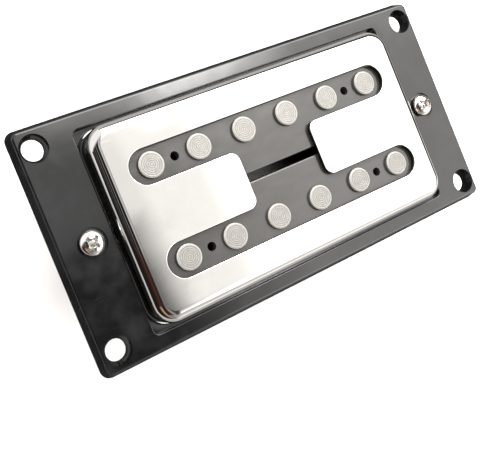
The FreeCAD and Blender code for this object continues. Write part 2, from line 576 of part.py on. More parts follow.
def make_cover():
    """Drawn metal cover: rounded block, shelled from below, with two slots joined by a window."""
    body = new_body("cover", z="Fits.skirt_z")
    outline = new_sketch(body, "cover_outline")
    add_rounded_rectangle(outline, "cover", "Fits.cover_length", "Fits.cover_width", "Sizes.cover_corner")
    add_pad(body, outline, "Fits.cover_depth")
    top = value("Fits.cover_depth")
    dress(body, "Fillet", "cover_edge_round", "Sizes.cover_edge", lambda edge: at_level(edge, top))
    add_shell(body, "cover_shell", "Sizes.cover_wall", lambda face: face.BoundBox.ZMax < TOLERANCE)
    for name, row in (("back", "Fits.row_y"), ("front", "-Fits.row_y")):
        slot = new_sketch(body, "cover_slot_" + name, level="Fits.cover_depth")
        add_obround(slot, "slot", "Fits.slot_span", "Sizes.slot_width", row)
        add_pocket(body, slot, "Sizes.cover_wall")
    window = new_sketch(body, "cover_window", level="Fits.cover_depth")
    add_rectangle(window, "window", "Sizes.window_width", "Fits.row_spacing")
    add_pocket(body, window, "Sizes.cover_wall")
    tongue_x = value("Sizes.window_width") / 2

    def tongue_corner(edge):
        return is_upright(edge) and abs(abs(edge.BoundBox.XMin) - tongue_x) < TOLERANCE

    dress(body, "Fillet", "tongue_round", "Sizes.tongue_corner", tongue_corner)
    slot_x = value("Fits.slot_length") / 2 + TOLERANCE
    slot_y = value("Fits.row_y") + value("Fits.slot_radius") + TOLERANCE

    def cut_out_edge(edge):
        box = edge.BoundBox
        inside = max(-box.XMin, box.XMax) < slot_x and max(-box.YMin, box.YMax) < slot_y
        return at_level(edge, top) and inside

    dress(body, "Fillet", "cover_lip_round", "Sizes.cover_lip", cut_out_edge)
    keep(body, "cover")


def make_baseplate():
    """Sheet plate inside the skirt with a bent leg and a tapped foot at each end."""
    body = new_body("baseplate", z="Fits.skirt_z")
    outline = new_sketch(body, "plate_outline")
    add_rounded_rectangle(outline, "plate", "Fits.plate_length", "Fits.plate_width", "Fits.plate_corner")
    add_pad(body, outline, "Sizes.plate_thickness")
    holes = new_sketch(body, "plate_holes")
    add_circle_pair(holes, "back", "Fits.plate_screw_hole", "Fits.bobbin_screw_spacing", "Fits.row_y")
    add_circle_pair(holes, "front", "Fits.plate_screw_hole", "Fits.bobbin_screw_spacing", "-Fits.row_y")
    add_circle(holes, "cable", "Sizes.cable_hole", "Sizes.cable_hole_x", "Sizes.cable_hole_y")
    add_pocket(body, holes, upward=True)
    for side, sign in (("left", "-"), ("right", "")):
        add_leg(body, side, sign)
    feet = new_sketch(body, "foot_holes", level="Fits.foot_bottom")
    add_circle_pair(feet, "tapped", "Fits.tapped_hole", "Fits.screw_spacing")
    add_pocket(body, feet, upward=True)
    keep(body, "baseplate")


def add_leg(body, side, sign):
    """Cut the relief at one end, then add a leg bent down and a foot bent outwards."""
    face = sign + "Fits.leg_face_x"
    inner = sign + "Fits.leg_inner_x"
    root = sign + "Fits.relief_x"
    tip = sign + "Fits.foot_end_x"
    relief = new_sketch(body, "relief_" + side, "XZ_Plane")
    add_profile(relief, "relief", [(root, None), (face, None), (face, "Sizes.plate_thickness"),
                                   (root, "Sizes.plate_thickness")])
    before = body.Tip.Shape.Volume
    cut = body.newObject("PartDesign::Pocket", "relief_" + side + "_pocket")
    cut.Profile = relief
    cut.SideType = "Symmetric"
    cut.setExpression("Length", "Fits.relief_width")
    check_cut(body, cut, before)
    leg = new_sketch(body, "leg_" + side, "XZ_Plane")
    add_profile(leg, "leg", [
        (root, None), (root, "Sizes.plate_thickness"), (face, "Sizes.plate_thickness"),
        (face, "Fits.foot_top"), (tip, "Fits.foot_top"), (tip, "Fits.foot_bottom"),
        (inner, "Fits.foot_bottom"), (inner, None),
    ])
    add_pad(body, leg, "Sizes.leg_width", both_ways=True)
    thickness = value("Sizes.plate_thickness")
    inside = ((value(inner), 0.0), (value(face), value("Fits.foot_top")))
    outside = ((value(face), thickness), (value(inner), value("Fits.foot_bottom")))
    dress(body, "Fillet", "bend_inside_" + side, "Sizes.plate_bend",
          lambda edge: any(crosses_leg_at(edge, x, z) for x, z in inside))
    dress(body, "Fillet", "bend_outside_" + side, "Fits.bend_outer",
          lambda edge: any(crosses_leg_at(edge, x, z) for x, z in outside))
    end = value(tip)
    dress(body, "Fillet", "foot_round_" + side, "Sizes.foot_corner",
          lambda edge: is_upright(edge) and abs(edge.BoundBox.XMin - end) < TOLERANCE)


def make_bobbin(name, row):
    """Moulded former: two flanges on a core that is bored for the slugs and for two screws."""
    body = new_body(name, y=row, z="Fits.bobbin_z")
    lower = new_sketch(body, name + "_lower")
    add_rounded_rectangle(lower, "flange", "Fits.bobbin_length", "Sizes.bobbin_width", "Sizes.bobbin_corner")
    add_pad(body, lower, "Sizes.flange_bottom")
    core = new_sketch(body, name + "_core")
    add_obround(core, "core", "Fits.pole_span", "Fits.core_width")
    add_pad(body, core, "Sizes.bobbin_height")
    upper = new_sketch(body, name + "_upper", level="Fits.core_top")
    add_rounded_rectangle(upper, "flange", "Fits.bobbin_length", "Sizes.bobbin_width", "Sizes.bobbin_corner")
    add_pad(body, upper, "Sizes.flange_top")
    top = value("Sizes.bobbin_height")
    dress(body, "Fillet", name + "_edge_round", "Sizes.bobbin_edge", lambda edge: at_level(edge, top))
    bore = new_sketch(body, name + "_bore")
    add_circle(bore, "bore", "Fits.pole_bore", x="-Fits.pole_reach")
    cut = add_pocket(body, bore, upward=True)
    row_of_bores = body.newObject("PartDesign::LinearPattern", name + "_bores")
    row_of_bores.Originals = [cut]
    row_of_bores.Direction = (bore, ["H_Axis"])
    row_of_bores.setExpression("Length", "Fits.pole_span")
    row_of_bores.setExpression("Occurrences", "Sizes.pole_count")
    body.Tip = row_of_bores
    check_cut(body, row_of_bores, cut.Shape.Volume)
    pilots = new_sketch(body, name + "_pilots")
    add_circle_pair(pilots, "pilot", "Fits.bobbin_pilot", "Fits.bobbin_screw_spacing")
    add_pocket(body, pilots, upward=True)
    bores = new_sketch(body, name + "_screw_bores")
    add_circle_pair(bores, "screw", "Fits.bobbin_bore", "Fits.bobbin_screw_spacing")
    add_pocket(body, bores, "Fits.bobbin_bore_depth", upward=True)
    keep(body, name)


def make_wrap(name, row, inner, outer):
    """Round-ended sleeve about a bobbin's core: a winding or its tape."""
    body = new_body(name, y=row, z="Fits.coil_z")
    section = new_sketch(body, name + "_section")
    add_obround(section, "outer", "Fits.pole_span", outer)
    add_obround(section, "inner", "Fits.pole_span", inner)
    add_pad(body, section, "Fits.coil_height")
    keep(body, name)


def make_pole(name, row, order):
    """Plain steel slug, chamfered at both ends."""
    body = new_body(name, y=row, z="Fits.pole_z")
    body.setExpression("Placement.Base.x", "%d * Sizes.pole_pitch - Fits.pole_reach" % order)
    section = new_sketch(body, name + "_section")
    add_circle(section, "slug", "Sizes.pole_diameter")
    add_pad(body, section, "Fits.pole_length")
    length = value("Fits.pole_length")
    dress(body, "Chamfer", name + "_chamfer", "Sizes.pole_chamfer",
          lambda edge: at_level(edge, 0.0) or at_level(edge, length))
    keep(body, name)


def make_bar(name, length, width, y):
    """Flat bar between baseplate and bobbins, centred along X."""
    bar = doc.addObject("Part::Box", name)
    bar.setExpression("Length", length)
    bar.setExpression("Width", width)
    bar.setExpression("Height", "Sizes.magnet_thickness")
    bar.setExpression("Placement.Base.x", "-%s / 2" % length)
    bar.setExpression("Placement.Base.y", y)
    bar.setExpression("Placement.Base.z", "Fits.plate_top_z")
    keep(bar, name)


def add_cross_recess(body, name, prefix):
    """Cross recess with leaning walls, cut down from the top of a head."""
    long_side = "Fits.%s_cross" % prefix
    short_side = "Fits.%s_slot" % prefix
    for arm, (along, across) in (("x", (long_side, short_side)), ("y", (short_side, long_side))):
        slot = new_sketch(body, "%s_recess_%s" % (name, arm), level="Sizes.%s_head_height" % prefix)
        add_rectangle(slot, "slot", along, across)
        add_pocket(body, slot, "Sizes.%s_recess" % prefix, taper="-Sizes.recess_lean")


def make_screw_body(name, prefix):
    """Pan head screw that stands on its head's seat at height zero, shank downwards."""
    body = new_body(name)
    shank = "Fits.%s_radius" % prefix
    head = "Fits.%s_head_radius" % prefix
    tip = "Fits.%s_tip_radius" % prefix
    height = "Sizes.%s_head_height" % prefix
    bottom = "-Sizes.%s_length" % prefix
    shoulder = "-Fits.%s_shoulder" % prefix
    profile = new_sketch(body, name + "_profile", "XZ_Plane")
    add_profile(profile, "screw", [
        (None, bottom), (tip, bottom), (shank, shoulder), (shank, None), (head, None), (head, height),
        (None, height),
    ])
    turned = body.newObject("PartDesign::Revolution", name + "_turned")
    turned.Profile = profile
    turned.ReferenceAxis = (profile, ["V_Axis"])
    doc.recompute()
    top = value(height)
    dress(body, "Fillet", name + "_head_round", "Sizes.%s_round" % prefix, lambda edge: at_level(edge, top))
    add_cross_recess(body, name, prefix)
    return body


def make_height_screw(name, x):
    """Height screw that hangs in the ring's recess."""
    body = make_screw_body(name, "height_screw")
    place(body, x=x, z="Fits.head_seat_z")
    keep(body, name)


def mirrored_pair(source, name, normal):
    """Compound of an object and its mirror image about a plane through the origin."""
    image = doc.addObject("Part::Mirroring", name + "_image")
    image.Source = source
    image.Normal = normal
    pair = doc.addObject("Part::Compound", name)
    pair.Links = [source, image]
    doc.recompute()
    return pair


def make_bobbin_screws():
    """Four screws that hold the bobbins from below the baseplate."""
    screw = make_screw_body("bobbin_screw", "bobbin_screw")
    screw.Placement.Rotation = FreeCAD.Rotation(FreeCAD.Vector(1, 0, 0), 180)
    place(screw, x="Fits.bobbin_screw_x", y="Fits.row_y", z="Fits.skirt_z")
    row = mirrored_pair(screw, "bobbin_screw_row", FreeCAD.Vector(1, 0, 0))
    keep(mirrored_pair(row, "bobbin_screws", FreeCAD.Vector(0, 1, 0)), "bobbin_screws")


def make_solder_beads():
    """Two beads under the joint between the cover's skirt and the baseplate."""
    bead = doc.addObject("Part::Ellipsoid", "solder_bead")
    bead.setExpression("Radius1", "Sizes.bead_height")
    bead.setExpression("Radius2", "Sizes.bead_length / 2")
    bead.setExpression("Radius3", "Sizes.bead_width / 2")
    bead.Angle1 = -90
    bead.Angle2 = 0
    place(bead, y="Fits.bead_y", z="Fits.skirt_z")
    keep(mirrored_pair(bead, "solder_beads", FreeCAD.Vector(0, 1, 0)), "solder_beads")


def spring_nodes(radius, turns, end_pitch, height):
    """Centre line of a spring every half turn: points and directions, closer at both ends."""
    steps = 2 * turns
    middle_pitch = (height - 2 * end_pitch) / (turns - 2)
    rises = [end_pitch / 2 if step < 2 or step >= steps - 2 else middle_pitch / 2 for step in range(steps)]
    points = []
    directions = []
    level = 0.0
    for step in range(steps + 1):
        turn = step * math.pi
        slope = (rises[max(step - 1, 0)] + rises[min(step, steps - 1)]) / 2 / math.pi
        points.append(FreeCAD.Vector(radius * math.cos(turn), radius * math.sin(turn), level))
        direction = FreeCAD.Vector(-radius * math.sin(turn), radius * math.cos(turn), slope)
        directions.append(direction.normalize())
        if step < steps:
            level += rises[step]
    return points, directions


def arc_from(start, direction, end):
    """Arc that leaves a point in a direction and ends at another point."""
    chord = end - start
    length = chord.Length
    unit = FreeCAD.Vector(chord).normalize()
    half_turn = direction.getAngle(unit)
    side = (direction - unit * direction.dot(unit)).normalize()
    crown = start + chord * 0.5 + side * (length / 2 * math.tan(half_turn / 2))
    return Part.Arc(start, crown, end)


def biarc(start, first, end, last):
    """Two arcs that join smoothly and meet both points in the given directions."""
    gap = end - start
    both = first + last
    spread = 2 * (1 - first.dot(last))
    along = gap.dot(both)
    reach = (math.sqrt(along * along + spread * gap.dot(gap)) - along) / spread
    joint = (start + end + (first - last) * reach) * 0.5
    middle = (end - start - both * reach).normalize()
    return [arc_from(start, first, joint), arc_from(joint, middle, end)]


def least_self_gap(arcs, wire, turns):
    """Least distance between the tube's surfaces on neighbouring turns, measured on points."""
    per_arc = 12
    line = []
    for arc in arcs:
        low, high = arc.FirstParameter, arc.LastParameter
        line += [arc.value(low + (high - low) * step / per_arc) for step in range(per_arc)]
    half_turn = len(line) // (2 * turns)
    least = min(
        here.distanceToPoint(there)
        for number, here in enumerate(line)
        for there in line[number + half_turn:number + 3 * half_turn]
    )
    return least - wire


def make_spring(name, x):
    """Compression spring between the ring's underside and a foot: one tube on a helix."""
    wire = value("Sizes.spring_wire")
    radius = value("Sizes.spring_diameter") / 2
    turns = int(value("Sizes.spring_turns"))
    seat = value("Sizes.spring_seat")
    foot = value("Fits.foot_top_z")
    height = -foot - 2 * seat - wire
    points, directions = spring_nodes(radius, turns, value("Sizes.spring_end_pitch"), height)
    arcs = []
    for here, first, there, last in zip(points, directions, points[1:], directions[1:]):
        arcs += biarc(here, first, there, last)
    path = Part.Wire([arc.toShape() for arc in arcs])
    section = Part.Wire([Part.Circle(points[0], directions[0], wire / 2).toShape()])
    shell = Part.BRepOffsetAPI.MakePipeShell(path)
    shell.add(section)
    shell.build()
    shell.makeSolid()
    spring = doc.addObject("Part::Feature", name)
    spring.Shape = shell.shape()
    spring.Placement = FreeCAD.Placement(FreeCAD.Vector(x, 0, foot + seat + wire / 2), FreeCAD.Rotation())
    print("%s: least gap to itself %.3f mm" % (name, least_self_gap(arcs, wire, turns)))
    keep(spring, name)


def write_files():
    """Check every object and write one file for each sub-part."""
    doc.recompute()
    for item in doc.Objects:
        if "Invalid" in item.State or "Error" in item.State:
            raise RuntimeError("%s failed: %s" % (item.Name, item.State))
    os.makedirs("parts", exist_ok=True)
    for item in subparts:
        if item.Shape.isNull() or not item.Shape.isValid():
            raise RuntimeError("%s has no valid shape" % item.Label)
        item.Shape.exportStep("parts/%s.step" % item.Label)
        print("%-20s %d solid(s), %9.2f mm3" % (item.Label, len(item.Shape.Solids), item.Shape.Volume))


def main():
    """Build every sub-part and write the files."""
    make_ring()
    make_cover()
    make_baseplate()
    for side, row in (("front", "-Fits.row_y"), ("back", "Fits.row_y")):
        make_bobbin("bobbin_" + side, row)
        make_wrap("coil_" + side, row, "Fits.coil_inner", "Fits.coil_outer")
        make_wrap("coil_tape_" + side, row, "Fits.tape_inner", "Fits.tape_outer")
        for order in range(int(value("Sizes.pole_count"))):
            make_pole("pole_%s_%d" % (side, order + 1), row, order)
    make_bar("bar_magnet", "Fits.magnet_length", "Fits.magnet_width", "-Fits.magnet_width / 2")
    make_bar("spacer_back", "Fits.spacer_length", "Sizes.spacer_width", "Fits.spacer_y")
    make_bar("spacer_front", "Fits.spacer_length", "Sizes.spacer_width",
             "-Fits.spacer_y - Sizes.spacer_width")
    make_bobbin_screws()
    make_solder_beads()
    for side, sign in (("left", "-"), ("right", "")):
        make_height_screw("height_screw_" + side, sign + "Fits.screw_x")
        make_spring("spring_" + side, value(sign + "Fits.screw_x"))
    write_files()


main()
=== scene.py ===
"""Covered twin-coil guitar pickup: finishes, turned and moulded detail, and the studio round it."""

import math

import bmesh
import bpy
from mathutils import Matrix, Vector, noise


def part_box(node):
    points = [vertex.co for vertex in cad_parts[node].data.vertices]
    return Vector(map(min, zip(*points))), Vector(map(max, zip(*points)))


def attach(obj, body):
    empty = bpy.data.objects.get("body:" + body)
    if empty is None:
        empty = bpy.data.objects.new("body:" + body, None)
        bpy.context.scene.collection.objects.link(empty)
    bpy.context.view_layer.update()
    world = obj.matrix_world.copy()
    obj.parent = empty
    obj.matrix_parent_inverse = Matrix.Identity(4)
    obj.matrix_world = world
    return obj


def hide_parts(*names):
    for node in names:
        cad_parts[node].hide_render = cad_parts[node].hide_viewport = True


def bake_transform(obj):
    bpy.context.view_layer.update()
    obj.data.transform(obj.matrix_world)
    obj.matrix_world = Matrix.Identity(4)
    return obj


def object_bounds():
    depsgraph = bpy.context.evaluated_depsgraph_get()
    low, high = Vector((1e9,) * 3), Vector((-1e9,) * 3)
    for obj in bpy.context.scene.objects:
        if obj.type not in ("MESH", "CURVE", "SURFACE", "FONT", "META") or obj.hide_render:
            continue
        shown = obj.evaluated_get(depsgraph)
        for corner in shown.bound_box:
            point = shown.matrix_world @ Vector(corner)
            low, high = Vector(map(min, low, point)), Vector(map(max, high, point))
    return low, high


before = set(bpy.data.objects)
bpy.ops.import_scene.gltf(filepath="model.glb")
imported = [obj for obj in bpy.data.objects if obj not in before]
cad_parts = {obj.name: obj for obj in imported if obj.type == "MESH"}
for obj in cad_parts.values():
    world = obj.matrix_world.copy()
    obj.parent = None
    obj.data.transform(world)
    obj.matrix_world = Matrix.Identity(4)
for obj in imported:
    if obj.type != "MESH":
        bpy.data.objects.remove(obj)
CAD_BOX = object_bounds()

bl_info = {
    "name": "Guitar Pickup",
    "version": (1, 0, 0),
    "blender": (4, 5, 0),
    "location": "View3D > Sidebar > Pickup",
    "description": "Finishes and small parts of a covered twin-coil guitar pickup",
    "category": "Object",
}

MM = 0.001
FULL_TURN = 2 * math.pi
POLES_IN_ROW = 6
# Sizes in millimetres that pieces and finishes have to share with the solids.
POLE_PITCH = 10.0
ROW_Y = 9.0
HEAD_HEIGHT = 1.9
OPENING_GAP_ENDS = 0.55
OPENING_GAP_SIDES = 0.75
CUT_OUT_HALF_LENGTH = 33.0
CUT_OUT_HALF_WIDTH = 15.0
# Places and lengths in metres.
SCREW_X = 39.6 * MM
SEAT_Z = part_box("height_screw_left")[1][2] - HEAD_HEIGHT * MM
RING_BOTTOM_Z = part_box("mounting_ring")[0][2]
RING_TOP_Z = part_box("mounting_ring")[1][2]
COVER_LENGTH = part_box("cover")[1][0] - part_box("cover")[0][0]
COVER_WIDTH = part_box("cover")[1][1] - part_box("cover")[0][1]
OPENING_LENGTH = COVER_LENGTH + 2 * OPENING_GAP_ENDS * MM
OPENING_WIDTH = COVER_WIDTH + 2 * OPENING_GAP_SIDES * MM
# Edges that turn by more than this stay sharp.
SHARP_ANGLE = math.radians(38)
LEFT_AND_RIGHT = (("left", -1.0), ("right", 1.0))
FRONT_AND_BACK = (("front", -1.0), ("back", 1.0))
# Linear colours of the painted dark reflection and shade on the cover's cut edge, and of the painted shade
# deep in the bobbins' holes.
PAINTED_DARK_EDGE = (0.07, 0.06, 0.055, 1.0)
PAINTED_HOLE_SHADE = (0.012, 0.009, 0.006, 1.0)
# The photograph's camera: place and clipping in metres, turn in degrees, sensor in millimetres.
CAMERA_PLACE = (-0.0682105, 0.0024855, 0.1303245)
CAMERA_TURN = (8.29788, -23.01810, -24.30889)
LENS_SHIFT = (0.0175914, -0.0682452)
SENSOR_WIDTH = 36.0
CLIP_START, CLIP_END = 0.005, 20.0
# Soft sunlight from the left: how wide the sky is that it comes from, and its tilt.
FILL_SPREAD = math.radians(100)
FILL_TILT = math.radians(-42)


def linear(code):
    """An sRGB hex colour as linear red, green, blue and alpha."""
    channels = []
    for start in (0, 2, 4):
        share = int(code[start:start + 2], 16) / 255.0
        channels.append(share / 12.92 if share <= 0.04045 else ((share + 0.055) / 1.055) ** 2.4)
    return (*channels, 1.0)


def grey(share):
    """A neutral value as a colour."""
    return (share, share, share, 1.0)


def tinted(colour, *shares):
    """A colour with its channels taken up or down by a share each, or all by the same."""
    shares = shares if len(shares) == 3 else shares * 3
    return (*(min(1.0, channel * share) for channel, share in zip(colour, shares)), 1.0)


def colour_property(name, description, code):
    """A colour that the user may change, from an sRGB hex value."""
    return bpy.props.FloatVectorProperty(
        name=name, description=description, default=linear(code), subtype="COLOR", size=4, min=0.0, max=1.0)


def length_property(name, description, millimetres):
    """A length that the user may change, in metres from a value in millimetres."""
    return bpy.props.FloatProperty(
        name=name, description=description, default=millimetres * MM, min=0.0, precision=5,
        unit="LENGTH", subtype="DISTANCE")


def light_property(name, description, strength):
    """The strength of a light that the user may change."""
    return bpy.props.FloatProperty(name=name, description=description, default=strength, min=0.0)


class PickupColours(bpy.types.PropertyGroup):
    """Colours of the pickup's finishes."""

    ring: colour_property("Ring", "Black of the moulded mounting ring", "0B0B0C")
    cover: colour_property("Cover", "Chrome plate of the cover", "CCCBC9")
    bobbin: colour_property("Bobbins", "Dark brown-black of the moulded bobbins", "3A3938")
    pole: colour_property("Poles", "Plated faces of the pole slugs", "8B8985")
    screw: colour_property("Height screws", "Bright plate of the height screws", "D6D5D2")
    spring: colour_property("Springs", "Drawn spring wire", "9A9997")
    copper: colour_property("Winding", "Enamelled copper wire", "8C4A24")
    tape: colour_property("Tape", "Black cloth tape round the windings", "1A1918")
    magnet: colour_property("Magnet", "Cast magnet alloy", "7C7B79")
    maple: colour_property("Spacers", "Maple of the spacer strips", "C9A271")
    plate: colour_property("Baseplate", "Rolled nickel silver", "B9B2A2")
    brass: colour_property("Bobbin screws", "Plain brass", "C6A15A")
    solder: colour_property("Solder", "Soft solder", "B4B5B8")


class PickupSizes(bpy.types.PropertyGroup):
    """Sizes of the small parts and of the surface patterns."""

    step_drop: length_property("Step drop", "Step inside the ring's opening, below the ring's top", 1.3)
    step_gap: length_property("Step gap", "Gap between that step and the cover", 0.25)
    cover_corner: length_property("Cover corner", "Plan radius of the cover's corners", 4.2)
    opening_corner: length_property("Opening corner", "Plan radius of the ring's opening", 1.0)
    head_diameter: length_property("Screw head", "Diameter of a height screw's head", 4.8)
    head_height: length_property("Head height", "Height of a height screw's head", HEAD_HEIGHT)
    head_side: length_property("Head side", "Upright part of the head below its dome", 0.62)
    recess_length: length_property("Recess length", "Length of the cross recess over both wings", 3.0)
    recess_width: length_property("Recess width", "Width of a wing of the cross recess", 0.66)
    recess_depth: length_property("Recess depth", "Depth of the cross recess in the middle", 1.15)
    shank_diameter: length_property("Thread", "Outer diameter of a height screw's thread", 2.5)
    thread_pitch: length_property("Thread pitch", "Rise of the thread in one turn", 0.45)
    screw_length: length_property("Screw length", "Height screw below its head", 25.0)
    spring_wire: length_property("Spring wire", "Thickness of the springs' wire", 0.5)
    spring_diameter: length_property(
        "Spring diameter", "Diameter of a spring's coils, middle to middle of the wire", 4.2)
    spring_end_pitch: length_property("Spring end", "Rise of a spring's first and last coil", 0.96)
    spring_turns: bpy.props.IntProperty(name="Spring turns", description="Coils of a spring", default=9, min=4)
    turning_step: length_property("Turning marks", "Distance between the rings on a pole's face", 0.4)
    wire_step: length_property("Winding", "Distance between the drawn wires of a winding", 0.16)
    ridge_step: length_property("Winding ridges", "Height of one band of turns on a winding", 0.39)
    tape_lap: length_property("Tape lap", "How far the last turn of tape stands out at its end", 0.15)
    weave_step: length_property("Tape weave", "Distance between the threads of the cloth tape", 0.3)
    recess_turn: bpy.props.FloatProperty(
        name="Recess turn", description="How far a height screw's recess is turned", default=math.radians(40),
        subtype="ANGLE", unit="ROTATION")


class PickupStudio(bpy.types.PropertyGroup):
    """Light, floor and camera."""

    base: light_property("Room", "Light of the room all round", 0.1)
    panel: light_property("Soft panel", "Light of the soft panel", 3.3)
    wall: light_property("Wall", "Light of the wall at the left end", 1.3)
    lamp: light_property("Lamp", "Light of the lamp behind the panel", 19.0)
    side: light_property("Low light", "Pale band round the horizon", 1.1)
    back: light_property("Back light", "Light of the pale wall behind the left end", 1.6)
    front: light_property("Front light", "Light of the pale wall in front", 1.7)
    ground: light_property("Ground", "Light mirrored from the floor further off", 0.75)
    under: light_property("Under light", "Light mirrored from below", 0.07)
    fill: light_property("Fill", "Soft light from the left on matt surfaces", 2.25)
    warmth: colour_property("Light colour", "Colour of the studio light", "FFFDFA")
    paper: colour_property("Floor", "White paper under the pickup", "F7F7F6")
    floor_size: length_property("Floor size", "Side of the paper floor", 3000.0)
    lens: bpy.props.FloatProperty(
        name="Lens", description="Focal length in millimetres", default=54.0376, min=10.0,
        subtype="DISTANCE_CAMERA", unit="CAMERA")


def add(tree, kind, inputs=None, stops=None, **settings):
    """Add a node: its settings, its inputs as values or (node, output) pairs, and a ramp's stops."""
    node = tree.nodes.new(kind)
    for name, setting in settings.items():
        setattr(node, name, setting)
    for socket, source in (inputs or {}).items():
        if isinstance(source, tuple) and isinstance(source[0], bpy.types.Node):
            tree.links.new(source[0].outputs[source[1]], node.inputs[socket])
        else:
            node.inputs[socket].default_value = source
    for number, (position, colour) in enumerate(stops or ()):
        elements = node.color_ramp.elements
        element = elements[number] if number < len(elements) else elements.new(position)
        element.position = position
        element.color = colour
    return node


def chain(tree, values, rows):
    """Work values out from rows of a name, a step and its inputs, and give all of them by name.

    A step is a math operation (for colours, with COLOUR_ before it), LINEAR or SMOOTHSTEP for a range
    (its source, where it starts and ends, and the values there) or MIX for a colour between two
    others. An input is a number or colour, an earlier name or a (node, output) pair.
    """
    values = dict(values)
    for name, step, *inputs in rows:
        sources = [values[item] if isinstance(item, str) else item for item in inputs]
        if step in ("LINEAR", "SMOOTHSTEP"):
            sockets = dict(zip(("Value", "From Min", "From Max", "To Min", "To Max"), sources))
            values[name] = (add(tree, "ShaderNodeMapRange", sockets, interpolation_type=step), "Result")
        elif step == "MIX":
            sockets = dict(zip(("Factor", 6, 7), sources))
            values[name] = (add(tree, "ShaderNodeMix", sockets, data_type="RGBA"), 2)
        else:
            coloured = step.startswith("COLOUR_")
            kind, output = ("ShaderNodeVectorMath", "Vector") if coloured else ("ShaderNodeMath", "Value")
            sockets = dict(enumerate(sources))
            values[name] = (add(tree, kind, sockets, operation=step.removeprefix("COLOUR_")), output)
    return values


def start_material(name, **sockets):
    """A material with one shader, its node tree and the place on the part in millimetres."""
    material = bpy.data.materials.new(name)
    material.use_nodes = True
    tree = material.node_tree
    tree.nodes.clear()
    sockets = {key.replace("_", " "): item for key, item in sockets.items()}
    shader = add(tree, "ShaderNodeBsdfPrincipled", sockets, name="surface")
    add(tree, "ShaderNodeOutputMaterial", {"Surface": (shader, "BSDF")})
    place = add(tree, "ShaderNodeTexCoord")
    scaled = add(tree, "ShaderNodeVectorMath", {0: (place, "Object"), 1: (1 / MM, 1 / MM, 1 / MM)},
                 operation="MULTIPLY")
    return material, tree, (scaled, "Vector")


def mottle(tree, place, scale, detail, stretch=(1.0, 1.0, 1.0), turn=0.0, **more):
    """An uneven pattern on the part, drawn out along it where the stretch is small."""
    drawn = add(tree, "ShaderNodeMapping", {"Vector": place, "Rotation": (0.0, 0.0, turn), "Scale": stretch})
    pattern = {"Vector": (drawn, "Vector"), "Scale": scale, "Detail": detail, **more}
    return add(tree, "ShaderNodeTexNoise", pattern), "Fac"


def finish_surface(material, tone, rough, *reliefs, **more):
    """Lead tone, roughness, reliefs and what more is given into the shader; gives the material back.

    Tone and roughness are each a pattern, where it starts and ends, and what it gives there; the
    roughness may also be a ready output. A relief is a pattern, its strength and its depth in metres.
    """
    tree = material.node_tree
    pattern, start, end, low, high = tone
    rows = [("share", "LINEAR", pattern, start, end), ("tone", "MIX", "share", low, high)]
    if rough and len(rough) > 2:
        rows.append(("rough", "LINEAR", *rough))
    made = chain(tree, {"rough": rough}, rows)
    relief = {}
    for height, strength, depth in reliefs:
        sockets = {"Height": height, "Strength": strength, "Distance": depth, **relief}
        relief = {"Normal": (add(tree, "ShaderNodeBump", sockets), "Normal")}
    surface = {"Base Color": made["tone"], "Roughness": made["rough"], **relief, **more}
    for socket, source in surface.items():
        if source:
            tree.links.new(source[0].outputs[source[1]], tree.nodes["surface"].inputs[socket])
    return material


def dress(nodes, material):
    """Put a material on the CAD nodes' own slots."""
    for name in nodes:
        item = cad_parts[name]
        if not item.material_slots:
            raise RuntimeError("no material slot on " + name)
        for slot in item.material_slots:
            slot.link = "OBJECT"
            slot.material = material


def moulded_abs(colour):
    """ABS, injection moulded in a polished tool: deep black with a clear gloss, a slow ripple where
    the plastic shrank, and hairline scuffs that show only in the highlights."""
    material, tree, place = start_material(
        "abs_moulded_gloss_black", Base_Color=colour, Roughness=0.12, IOR=1.54)
    # Shrinkage ripple about 9 mm long, hazy patches some 6 mm wide, scuffs about 0.2 mm wide.
    ripple = mottle(tree, place, 0.11, 1.0)
    cloudy = mottle(tree, place, 0.16, 4.0, Roughness=0.55)
    scuffs = mottle(tree, place, 1.3, 2.0, (0.2, 3.0, 1.0), turn=0.5)
    grain = mottle(tree, place, 3.0, 2.0)
    # Handled plastic is duller and a little grey where it is hazy and where it is scuffed.
    marks = chain(tree, {}, [
        ("scuffed", "LINEAR", scuffs, 0.66, 0.82),
        ("haze", "LINEAR", cloudy, 0.42, 0.72),
        ("hazed", "MULTIPLY_ADD", "haze", 0.07, 0.09),
        ("rough", "MULTIPLY_ADD", "scuffed", 0.08, "hazed"),
        ("worn", "MAXIMUM", "scuffed", "haze")])
    rubbed = (*(channel * 2.0 + 0.004 for channel in colour[:3]), 1.0)
    return finish_surface(
        material, (marks["worn"], 0.0, 1.0, colour, rubbed), marks["rough"],
        (ripple, 0.5, 0.06 * MM), (grain, 0.25, 0.004 * MM))


